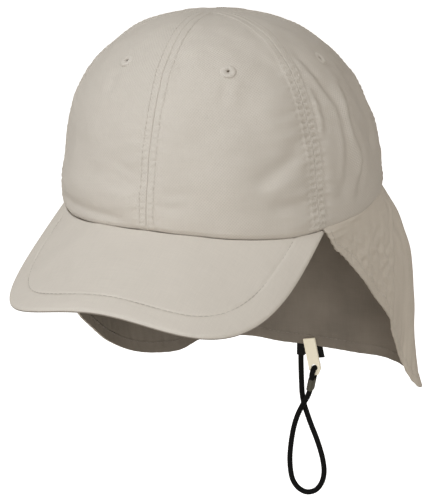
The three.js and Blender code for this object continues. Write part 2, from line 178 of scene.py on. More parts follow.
class NodeTree:
    """A material's node tree, built up one node at a time."""

    def __init__(self, name: str) -> None:
        """Start a material with an empty surface.

        Args:
            name: The material's name.
        """
        self.material = bpy.data.materials.new(name)
        self.material.use_nodes = True
        self.tree = self.material.node_tree
        self.surface = self.tree.nodes["Principled BSDF"]

    def add(self, kind: str, **settings: object) -> bpy.types.Node:
        """Add a node.

        Args:
            kind: The node's type.
            settings: Its properties, by name.

        Returns:
            The node.
        """
        node = self.tree.nodes.new(kind)
        for key, value in settings.items():
            setattr(node, key, value)
        return node

    def join(self, source: bpy.types.NodeSocket, target: bpy.types.NodeSocket) -> None:
        """Link one socket to another."""
        self.tree.links.new(source, target)

    def math(
        self, operation: str, first: object, second: object = 0.0, clamp: bool = False
    ) -> bpy.types.NodeSocket:
        """A sum, product or function of sockets and numbers.

        Args:
            operation: The math node's operation.
            first: A socket or a number.
            second: A socket or a number.
            clamp: Whether the result stays from 0 to 1.

        Returns:
            The result's socket.
        """
        node = self.add("ShaderNodeMath", operation=operation, use_clamp=clamp)
        for place, value in enumerate((first, second)):
            if isinstance(value, bpy.types.NodeSocket):
                self.join(value, node.inputs[place])
            else:
                node.inputs[place].default_value = value
        return node.outputs["Value"]

    def placed(
        self, source: bpy.types.NodeSocket, scale: tuple[float, float, float], turn: float = 0.0
    ) -> bpy.types.NodeSocket:
        """Coordinates scaled and turned about Z.

        Args:
            source: The coordinates.
            scale: The scale along each axis.
            turn: The turn in radians.

        Returns:
            The new coordinates' socket.
        """
        node = self.add("ShaderNodeMapping")
        node.inputs["Scale"].default_value = scale
        node.inputs["Rotation"].default_value = (0.0, 0.0, turn)
        self.join(source, node.inputs["Vector"])
        return node.outputs["Vector"]

    def noise(self, place: bpy.types.NodeSocket, scale: float, detail: float = 2.0) -> bpy.types.NodeSocket:
        """Noise about 0.5.

        Args:
            place: The coordinates.
            scale: The noise's scale.
            detail: Its detail.

        Returns:
            The noise's socket.
        """
        node = self.add("ShaderNodeTexNoise")
        node.inputs["Scale"].default_value = scale
        node.inputs["Detail"].default_value = detail
        self.join(place, node.inputs["Vector"])
        return node.outputs["Fac"]

    def set(self, **values: object) -> None:
        """Set the surface's inputs, named with _ for each space."""
        for key, value in values.items():
            self.surface.inputs[key.replace("_", " ")].default_value = value

    def cloth_map(self) -> tuple[bpy.types.NodeSocket, bpy.types.NodeSocket, bpy.types.NodeSocket]:
        """The cloth's own map in millimetres.

        Returns:
            The sockets of the map, and of its X and its Y.
        """
        flat = self.add("ShaderNodeUVMap", uv_map="Cloth").outputs["UV"]
        per_mm = self.placed(flat, (1000.0, 1000.0, 1000.0))
        spread = self.add("ShaderNodeSeparateXYZ")
        self.join(per_mm, spread.inputs["Vector"])
        return per_mm, spread.outputs["X"], spread.outputs["Y"]

    def tinted(self, colour: tuple[float, float, float], shade: bpy.types.NodeSocket) -> None:
        """Set the surface's colour to a colour times a shade.

        Args:
            colour: The colour.
            shade: A socket of shades about 1.
        """
        node = self.add("ShaderNodeMix", data_type="RGBA", blend_type="MULTIPLY")
        node.inputs["Factor"].default_value = 1.0
        node.inputs["A"].default_value = (*colour, 1.0)
        self.join(shade, node.inputs["B"])
        self.join(node.outputs["Result"], self.surface.inputs["Base Color"])

    def embossed(self, height: bpy.types.NodeSocket, distance: float, strength: float = 1.0) -> None:
        """Give the surface a bump.

        Args:
            height: The heights, about 1 at most.
            distance: What a height of 1 stands for.
            strength: The bump's strength.
        """
        node = self.add("ShaderNodeBump")
        node.inputs["Distance"].default_value = distance
        node.inputs["Strength"].default_value = strength
        self.join(height, node.inputs["Height"])
        self.join(node.outputs["Normal"], self.surface.inputs["Normal"])


@dataclass(frozen=True)
class ClothFinish:
    """Woven cloth that follows its sheet's own map, which is in metres.

    Attributes:
        name: The material's name.
        colour: Its colour.
        grain: How it is woven.
        dot_pitch: Distance between the raised dots.
        thread_pitch: Distance between threads.
        dot_shade: How much darker the dots' shadows are, painted into the colour.
        slub_shade: How much uneven threads change the shade.
        tone_shade: How much the cloth's tone drifts.
        roughness: The surface's roughness.
        lattice_turn: How the dots' lattice is turned on the cloth, in degrees.
        weave_height: Height of the whole weave for a height of 1 in the pattern.
    """

    name: str
    colour: tuple[float, float, float]
    grain: Grain = Grain.PLAIN
    dot_pitch: float = 0.00115
    thread_pitch: float = 0.00042
    dot_shade: float = 0.1
    slub_shade: float = 0.06
    tone_shade: float = 0.05
    roughness: float = 0.86
    lattice_turn: float = 38.0
    weave_height: float = 0.00006

    def material(self) -> bpy.types.Material:
        """Weave the cloth.

        Returns:
            The cloth's material.
        """
        tree = NodeTree(self.name)
        per_mm, map_x, map_y = tree.cloth_map()
        number = 2.0 * math.pi / (self.thread_pitch * 1000.0)
        warp = tree.math("SINE", tree.math("MULTIPLY", map_x, number))
        weft = tree.math("SINE", tree.math("MULTIPLY", map_y, number))
        weave = tree.math("MULTIPLY", warp, weft)
        warp_slub = tree.noise(tree.placed(per_mm, (1.7, 0.09, 1.0)), 1.0)
        weft_slub = tree.noise(tree.placed(per_mm, (0.09, 1.7, 1.0)), 1.0)
        slub = tree.math("SUBTRACT", tree.math("ADD", warp_slub, weft_slub), 1.0)
        tone = tree.math("SUBTRACT", tree.noise(per_mm, 0.035, 3.0), 0.5)
        shade = tree.math("ADD", 1.0, tree.math("MULTIPLY", slub, self.slub_shade))
        shade = tree.math("ADD", shade, tree.math("MULTIPLY", tone, self.tone_shade))
        height = tree.math("MULTIPLY", weave, 0.35)
        if self.grain is Grain.DOBBY:
            dot = self.dots(tree, per_mm)
            # Painted shadow: the dots are darker and the ground between them lighter, in patches set by slow
            # noise.
            dot_shadow_strength = tree.math("MULTIPLY", tree.noise(per_mm, 0.028, 1.0), 3.4)
            dot_shadow_strength = tree.math("SUBTRACT", dot_shadow_strength, 1.1, clamp=True)
            dot_shadow_strength = tree.math("MULTIPLY", dot_shadow_strength, self.dot_shade)
            shadow = tree.math("MULTIPLY", tree.math("SUBTRACT", dot, 0.4), dot_shadow_strength)
            shade = tree.math("SUBTRACT", shade, shadow)
            height = tree.math("ADD", height, tree.math("MULTIPLY", dot, 1.2))
        tree.tinted(self.colour, shade)
        height = tree.math("ADD", height, tree.math("MULTIPLY", slub, 0.8))
        tree.embossed(height, self.weave_height, 0.8)
        tree.set(Roughness=self.roughness, Specular_IOR_Level=0.25, Sheen_Weight=0.12, Sheen_Roughness=0.4)
        return tree.material

    def dots(self, tree: NodeTree, per_mm: bpy.types.NodeSocket) -> bpy.types.NodeSocket:
        """The raised dots of a dobby cloth.

        Args:
            tree: The cloth's node tree.
            per_mm: The cloth's map in millimetres.

        Returns:
            The socket of the dots, 1 on a dot and 0 between.
        """
        share = 1.0 / (self.dot_pitch * 1000.0)
        lattice = tree.add("ShaderNodeTexVoronoi", voronoi_dimensions="2D", feature="F1")
        lattice.inputs["Randomness"].default_value = 0.0
        lattice.inputs["Scale"].default_value = 1.0
        turned = tree.placed(per_mm, (share, share, share), math.radians(self.lattice_turn))
        tree.join(turned, lattice.inputs["Vector"])
        ease = tree.add("ShaderNodeMapRange", interpolation_type="SMOOTHSTEP")
        for key, value in (("From Min", 0.2), ("From Max", 0.52), ("To Min", 1.0), ("To Max", 0.0)):
            ease.inputs[key].default_value = value
        tree.join(lattice.outputs["Distance"], ease.inputs["Value"])
        return ease.outputs["Result"]


@dataclass(frozen=True)
class ThreadFinish:
    """Twisted sewing or embroidery thread.

    Attributes:
        name: The material's name.
        colour: Its colour.
        roughness: The surface's roughness.
    """

    name: str
    colour: tuple[float, float, float]
    roughness: float = 0.6

    def material(self) -> bpy.types.Material:
        """Twist the thread.

        Returns:
            The thread's material.
        """
        tree = NodeTree(self.name)
        place = tree.add("ShaderNodeTexCoord").outputs["Object"]
        tone = tree.math("SUBTRACT", tree.noise(place, 900.0, 2.0), 0.5)
        tree.tinted(self.colour, tree.math("ADD", 1.0, tree.math("MULTIPLY", tone, 0.25)))
        tree.embossed(tree.noise(place, 6000.0, 1.0), 0.00005, 0.6)
        tree.set(Roughness=self.roughness, Sheen_Weight=0.1)
        return tree.material


@dataclass(frozen=True)
class BraidFinish:
    """Braided or woven black narrow goods, on their own map in metres.

    Attributes:
        name: The material's name.
        colour: Its colour.
        rib_pitch: Distance between the ribs or carriers.
        roughness: The surface's roughness.
    """

    name: str
    colour: tuple[float, float, float]
    rib_pitch: float
    roughness: float = 0.62

    def material(self) -> bpy.types.Material:
        """Braid the narrow goods.

        Returns:
            Their material.
        """
        tree = NodeTree(self.name)
        per_mm, map_x, map_y = tree.cloth_map()
        number = 2.0 * math.pi / (self.rib_pitch * 1000.0)
        across = tree.math("SINE", tree.math("MULTIPLY", map_x, number))
        along = tree.math("SINE", tree.math("MULTIPLY", map_y, number * 0.5))
        fibre = tree.noise(per_mm, 6.0, 3.0)
        shade = tree.math("ADD", 0.75, tree.math("MULTIPLY", fibre, 0.5))
        # Painted shade: the colour is lighter on the ribs and darker in the hollows between them.
        shade = tree.math("ADD", shade, tree.math("MULTIPLY", tree.math("MULTIPLY", across, along), 0.18))
        tree.tinted(self.colour, shade)
        height = tree.math("ADD", tree.math("MULTIPLY", across, along), tree.math("MULTIPLY", fibre, 0.6))
        tree.embossed(height, 0.00008, 0.9)
        tree.set(Roughness=self.roughness, Specular_IOR_Level=0.16)
        return tree.material


@dataclass(frozen=True)
class MouldedFinish:
    """A moulded or drawn hard piece.

    Attributes:
        name: The material's name.
        colour: Its colour.
        roughness: The surface's roughness.
        metallic: 1 on metal, 0 on plastic.
        tone_shade: How much the tone drifts.
        grain: The scale of its fine unevenness, per metre.
        relief: The height of that unevenness.
        coat: The weight of its clear gloss.
        painted_glow: Strength of the painted light that the plastic gives off in its own colour, a glow that
            makes the pale plastic look more brightly lit.
    """

    name: str
    colour: tuple[float, float, float]
    roughness: float
    metallic: float = 0.0
    tone_shade: float = 0.08
    grain: float = 900.0
    relief: float = 0.00002
    coat: float = 0.0
    painted_glow: float = 0.0

    def material(self) -> bpy.types.Material:
        """Mould the finish.

        Returns:
            The hard piece's material.
        """
        tree = NodeTree(self.name)
        place = tree.add("ShaderNodeTexCoord").outputs["Object"]
        tone = tree.math("SUBTRACT", tree.noise(place, 220.0, 3.0), 0.5)
        tree.tinted(self.colour, tree.math("ADD", 1.0, tree.math("MULTIPLY", tone, self.tone_shade)))
        tree.embossed(tree.noise(place, self.grain, 3.0), self.relief, 0.7)
        tree.set(Roughness=self.roughness, Metallic=self.metallic, Coat_Weight=self.coat)
        # Painted light: the plastic glows in its own colour, though it is no lamp.
        tree.set(Emission_Color=(*self.colour, 1.0), Emission_Strength=self.painted_glow)
        return tree.material


@dataclass
class Finishes:
    """The cap's finishes, each made into a material once."""

    crown: ClothFinish = ClothFinish(
        "crown_dobby_cloth", (0.6, 0.545, 0.475), Grain.DOBBY, dot_shade=0.09
    )
    brim: ClothFinish = ClothFinish(
        "brim_cloth", (0.635, 0.578, 0.505), thread_pitch=0.0005, slub_shade=0.08
    )
    # The brim's underside is a darker copy of the brim cloth, painted shade that darkens the lower half of
    # its rolled edge.
    painted_shade_underbrim: ClothFinish = ClothFinish(
        "brim_underside_painted_shade_cloth", (0.3, 0.262, 0.218), thread_pitch=0.0005, slub_shade=0.1
    )
    # The flap's cloth is lighter than the crown's: painted light, so that the flap looks more brightly lit.
    flap: ClothFinish = ClothFinish(
        "flap_cloth", (0.65, 0.582, 0.495), thread_pitch=0.0005, slub_shade=0.09
    )
    # The flap's inner side is a darker copy of the flap cloth, painted shade that stands for the shade
    # inside the flap; its tone drifts at random.
    inside_painted_shade: ClothFinish = ClothFinish(
        "flap_inside_painted_shade_cloth", (0.252, 0.217, 0.179), thread_pitch=0.0005, slub_shade=0.12, tone_shade=0.6
    )
    thread: ThreadFinish = ThreadFinish("stone_thread", (0.57, 0.515, 0.447))
    seam_thread: ThreadFinish = ThreadFinish("brim_thread", (0.44, 0.395, 0.34))
    # The inner hem thread is darkened with the same painted shade as the flap's inner side.
    inside_painted_shade_thread: ThreadFinish = ThreadFinish("inside_painted_shade_thread", (0.262, 0.226, 0.187))
    eyelet: ThreadFinish = ThreadFinish("eyelet_thread", (0.6, 0.545, 0.475))
    cord: BraidFinish = BraidFinish("black_cord", (0.0035, 0.0035, 0.0035), 0.0009)
    webbing: BraidFinish = BraidFinish("black_webbing", (0.007, 0.007, 0.007), 0.0012)
    # The cream plastic glows faintly in its own colour, painted light that brightens the clip.
    plastic: MouldedFinish = MouldedFinish(
        "cream_plastic", (0.97, 0.89, 0.7), 0.32, coat=0.3, painted_glow=0.17
    )
    sleeve: MouldedFinish = MouldedFinish(
        "olive_sleeve", (0.085, 0.078, 0.055), 0.45, tone_shade=0.3
    )
    pin: MouldedFinish = MouldedFinish(
        "pin_steel", (0.6, 0.6, 0.58), 0.3, metallic=1.0, tone_shade=0.2
    )
    made: dict[str, bpy.types.Material] = field(default_factory=dict)

    def of(self, finish: ClothFinish | ThreadFinish | BraidFinish | MouldedFinish) -> bpy.types.Material:
        """The material of a finish.

        Args:
            finish: One of the cap's finishes.

        Returns:
            Its material.
        """
        if finish.name not in self.made:
            self.made[finish.name] = finish.material()
        return self.made[finish.name]


def placed_piece(
    mesh: bmesh.types.BMesh,
    name: str,
    body: str,
    material: bpy.types.Material,
    nodes: tuple[str, ...] = (),
) -> bpy.types.Object:
    """Make a mesh into a piece of the cap.

    Args:
        mesh: The piece's mesh, in its place. It is freed.
        name: The piece's name.
        body: The body that it rides on.
        material: Its material.
        nodes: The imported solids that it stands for.

    Returns:
        The piece's object.
    """
    data = bpy.data.meshes.new(name)
    mesh.to_mesh(data)
    mesh.free()
    data.materials.append(material)
    piece = bpy.data.objects.new(name, data)
    bpy.context.scene.collection.objects.link(piece)
    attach(piece, body)
    if nodes:
        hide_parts(*nodes)
    log.info("%s: %d faces on %s", name, len(data.polygons), body)
    return piece


def thickened(piece: bpy.types.Object, wall: float, group: str = "") -> None:
    """Give a sheet its wall, on the side away from its face.

    Args:
        piece: The sheet.
        wall: The wall's thickness.
        group: The vertex group that scales it, if any.
    """
    solidify = piece.modifiers.new("Wall", "SOLIDIFY")
    solidify.thickness = wall
    solidify.offset = -1.0
    solidify.use_even_offset = False
    if group:
        solidify.vertex_group = group


class Sheet:
    """A grid of faces that is laid into the form of a piece of cloth."""

    def __init__(self, across: Array, along: Array) -> None:
        """Make the grid.

        Args:
            across: The columns' shares, from 0 to 1.
            along: The rows' shares, from 0 to 1.
        """
        self.mesh = bmesh.new()
        columns, rows = len(across) - 1, len(along) - 1
        bmesh.ops.create_grid(self.mesh, x_segments=columns, y_segments=rows, size=0.5)
        places = np.array([vertex.co[:2] for vertex in self.mesh.verts]) + 0.5
        self.across = across[np.rint(places[:, 0] * columns).astype(int)]
        self.along = along[np.rint(places[:, 1] * rows).astype(int)]

    def lay(self, points: Array, flat: Array) -> None:
        """Lay the grid into its form and give it its map.

        Args:
            points: A point for each vertex.
            flat: Where each vertex lies on the flat cloth, in metres.
        """
        for vertex, point in zip(self.mesh.verts, points):
            vertex.co = point
        self.mesh.verts.index_update()
        chart = self.mesh.loops.layers.uv.new("Cloth")
        for face in self.mesh.faces:
            face.smooth = True
            for loop in face.loops:
                loop[chart].uv = flat[loop.vert.index]

    def weigh(self, weights: Array) -> None:
        """Give each vertex a weight in the sheet's first vertex group.

        Args:
            weights: The weight of each vertex.
        """
        layer = self.mesh.verts.layers.deform.verify()
        for vertex, weight in zip(self.mesh.verts, weights):
            vertex[layer][0] = float(weight)


@dataclass(frozen=True)
class StitchRow:
    """A row of sewing stitches that lie in the cloth.

    Attributes:
        pitch: Distance from one stitch to the next.
        length: A stitch's length.
        width: Its width.
        height: Its height.
        heading_step: How far before and after its middle its direction is taken.
    """

    pitch: float = 0.003
    length: float = 0.0025
    width: float = 0.00055
    height: float = 0.0004
    heading_step: float = 0.0005

    def sew(self, mesh: bmesh.types.BMesh, line: Array, away: Array) -> None:
        """Sew along a line.

        Args:
            mesh: The mesh that takes the stitches.
            line: Points of the line.
            away: The cloth's outward direction at each point.
        """
        run = run_along(line)
        for place in np.arange(self.pitch / 2, run[-1], self.pitch):
            start, end = (
                Vector([np.interp(place + step, run, column) for column in line.T])
                for step in (-self.heading_step, self.heading_step)
            )
            middle = (start + end) / 2
            forward = (end - start).normalized()
            outward = Vector([np.interp(place, run, column) for column in away.T])
            side = outward.cross(forward).normalized()
            outward = forward.cross(side)
            turn = Matrix((side, outward, forward)).transposed().to_4x4()
            size = Matrix.Diagonal((self.width / 2, self.height / 2, self.length / 2, 1.0))
            bmesh.ops.create_uvsphere(
                mesh, u_segments=6, v_segments=4, radius=1.0, matrix=Matrix.Translation(middle) @ turn @ size
            )


def smoothed(mesh: bmesh.types.BMesh) -> bmesh.types.BMesh:
    """Shade every face of a mesh smoothly.

    Args:
        mesh: The mesh.

    Returns:
        The same mesh.
    """
    for face in mesh.faces:
        face.smooth = True
    return mesh


def sealed(mesh: bmesh.types.BMesh) -> None:
    """Close a rolled sheet, with its meeting edges joined, its ends filled and its faces outward.

    Args:
        mesh: The sheet's mesh.
    """
    bmesh.ops.remove_doubles(mesh, verts=mesh.verts, dist=JOIN_DISTANCE)
    bmesh.ops.holes_fill(mesh, edges=[e for e in mesh.edges if e.is_boundary], sides=0)
    bmesh.ops.recalc_face_normals(mesh, faces=mesh.faces)


@dataclass(frozen=True)
class HeadRim:
    """The head opening's edge, which the brim, crown and flap are sewn to.

    Attributes:
        half_width: Half of the opening's width.
        front_length: From its middle to the front.
        back_length: From its middle to the back.
        ease: How far behind the brim's end the rim takes to come level.
        brim_end_back: How far in front of the middle the brim ends.
        brim_slope: How much the brim's face falls for each length forward.
        brim_curve: Its curvature across.
        brim_drop: How far its upper face lies under the crown's edge.
    """

    half_width: float = 0.087
    front_length: float = 0.094
    back_length: float = 0.1045
    ease: float = 0.06
    brim_end_back: float = 0.0445
    brim_slope: float = 0.5
    brim_curve: float = 9.6
    brim_drop: float = 0.0007

    @property
    def brim_end(self) -> float:
        """The turn at which the brim's end meets the rim, in radians."""
        return math.acos(self.brim_end_back / self.front_length)

    def plan(self, turn: Array, inset: float = 0.0) -> tuple[Array, Array]:
        """The rim's outline seen from above.

        Args:
            turn: Turns from the front, in radians, positive to the wearer's left.
            inset: How far the outline is drawn in.

        Returns:
            The outline's x and y.
        """
        length = np.where(np.cos(turn) > 0, self.front_length, self.back_length)
        return (self.half_width - inset) * np.sin(turn), -(length - inset) * np.cos(turn)

    def brim_height(self, x: Array, y: Array) -> Array:
        """Height of the brim's upper face over points of the plan."""
        return -self.brim_drop + self.brim_slope * (y + self.front_length) - self.brim_curve * x * x / 2

    def height(self, turn: Array) -> Array:
        """Height of the rim at each turn.

        Args:
            turn: Turns from the front, in radians.

        Returns:
            The heights.
        """
        away = np.abs(nearest_turn(turn, 0.0))
        x, y = self.plan(turn)
        end_x, end_y = self.plan(self.brim_end)
        level = smooth_step(y, float(end_y), float(end_y) + self.ease)
        behind = self.brim_height(end_x, end_y) * (1.0 - level)
        return np.where(away <= self.brim_end, self.brim_height(x, y), behind)


@dataclass(frozen=True)
class Form:
    """A soft bulge or hollow of the crown.

    Attributes:
        turn: Where it lies round the head, in degrees.
        rise: Where it lies from the rim at 0 to the apex at 1.
        turn_spread: How far it spreads round the head, in degrees.
        rise_spread: How far it spreads in rise.
        out: How far it stands out.
    """

    turn: float
    rise: float
    turn_spread: float
    rise_spread: float
    out: float


@dataclass(frozen=True)
class Fold:
    """A fold of the cloth along a line.

    Attributes:
        path: Turns in degrees and rises that the fold follows.
        width: Its half width.
        height: Its height, below 0 for a hollow.
        form: Its section.
    """

    path: tuple[tuple[float, float], ...]
    width: float
    height: float
    form: FoldForm = FoldForm.RIDGE

    def relief(self, across: Array, along: Array, path: Array) -> Array:
        """Height of the fold.

        Args:
            across: Places across the cloth.
            along: Places along it.
            path: The fold's path in the same places.

        Returns:
            The heights.
        """
        run = run_along(path)
        nearest = np.full(np.shape(across), FAR)
        signed = np.zeros(np.shape(across))
        share = np.zeros(np.shape(across))
        for index in range(len(path) - 1):
            start = path[index]
            step = path[index + 1] - start
            length = np.hypot(*step)
            ahead = (across - start[0]) * step[0] + (along - start[1]) * step[1]
            place = np.clip(ahead / length**2, 0.0, 1.0)
            off_x = across - start[0] - place * step[0]
            off_y = along - start[1] - place * step[1]
            distance = np.hypot(off_x, off_y)
            closer = distance < nearest
            nearest = np.where(closer, distance, nearest)
            side = np.sign(step[0] * off_y - step[1] * off_x)
            signed = np.where(closer, side * distance, signed)
            share = np.where(closer, (run[index] + place * length) / run[-1], share)
        ends = smooth_step(share, -0.02, 0.3) * (1.0 - smooth_step(share, 0.7, 1.02))
        if self.form is FoldForm.STEP:
            return self.height * ends * 2.3 * (signed / self.width) * bell(signed, self.width)
        return self.height * ends * bell(nearest, self.width)


@dataclass(frozen=True)
class Seam:
    """A felled seam between two crown panels, sewn with a row of stitches on each side.

    Attributes:
        turn: Where it lies, in degrees.
        pucker: Height of the puckers between seam and stitches at the rim.
        pull: Height of the longer pulls beside it.
        top: The share of both that is left near the apex.
        seed: Sets where its puckers lie.
        groove: Depth of the line where the panels meet.
        stitch_off: Distance of each row of stitches from that line.
        pitch: Distance from one pucker to the next.
        doubling: Height of the doubled cloth between the rows.
        stitch_dent: Depth of the dent along each row.
    """

    turn: float
    pucker: float
    pull: float
    top: float
    seed: int
    groove: float = 0.00028
    stitch_off: float = 0.0038
    pitch: float = 0.0036
    doubling: float = 0.00035
    stitch_dent: float = 0.00016

    def band(self, across: Array) -> Array:
        """Height of the seam's doubled cloth at a distance across it."""
        outside = smooth_step(np.abs(across), self.stitch_off, self.stitch_off + 0.0014)
        return self.doubling * (1.0 - outside)

    def relief(self, across: Array, up: Array, rise: Array) -> Array:
        """Height of the seam's groove, stitch dents, puckers and pulls.

        Args:
            across: Distances from the seam's line.
            up: Distances above the rim along the seam.
            rise: Shares from the rim at 0 to the apex at 1.

        Returns:
            The heights.
        """
        rng = np.random.default_rng(self.seed)
        shifts = rng.uniform(0.0, 2.0 * math.pi, 6)
        away = np.abs(across)
        side = np.where(across > 0, 1.0, -1.0)
        fade = self.top + (1.0 - self.top) * (1.0 - smooth_step(rise, 0.38, 0.6))
        swell = 0.9 + 0.22 * np.sin(2.0 * math.pi * up / 0.037 + shifts[0])
        swell = swell + 0.12 * np.sin(up / 0.0023 + shifts[1])
        phase = 2.0 * math.pi * up / self.pitch + 0.5 * np.sin(up / 0.0071 + shifts[2]) + 0.25 * side
        tick = (0.5 + 0.5 * np.cos(phase)) ** 2.6
        inner = -tick * smooth_step(away, 0.0003, 0.0014) * (1.0 - smooth_step(away, 0.003, 0.0044))
        outer_tick = (0.5 + 0.5 * np.cos(phase + 400.0 * (away - 0.004))) ** 2.0
        outer = -0.45 * outer_tick * bell(away - 0.0058, 0.0015)
        slow = phase / 2.1 + shifts[3] + 0.8 * side + away / 0.007
        pulls = np.sin(slow) * np.exp(-away / 0.012) * smooth_step(away, 0.0036, 0.0075)
        groove = -self.groove * bell(away, 0.0004)
        groove = groove - self.stitch_dent * bell(away - self.stitch_off, 0.0005)
        return groove + fade * swell * (self.pucker * (inner + outer) + self.pull * pulls)


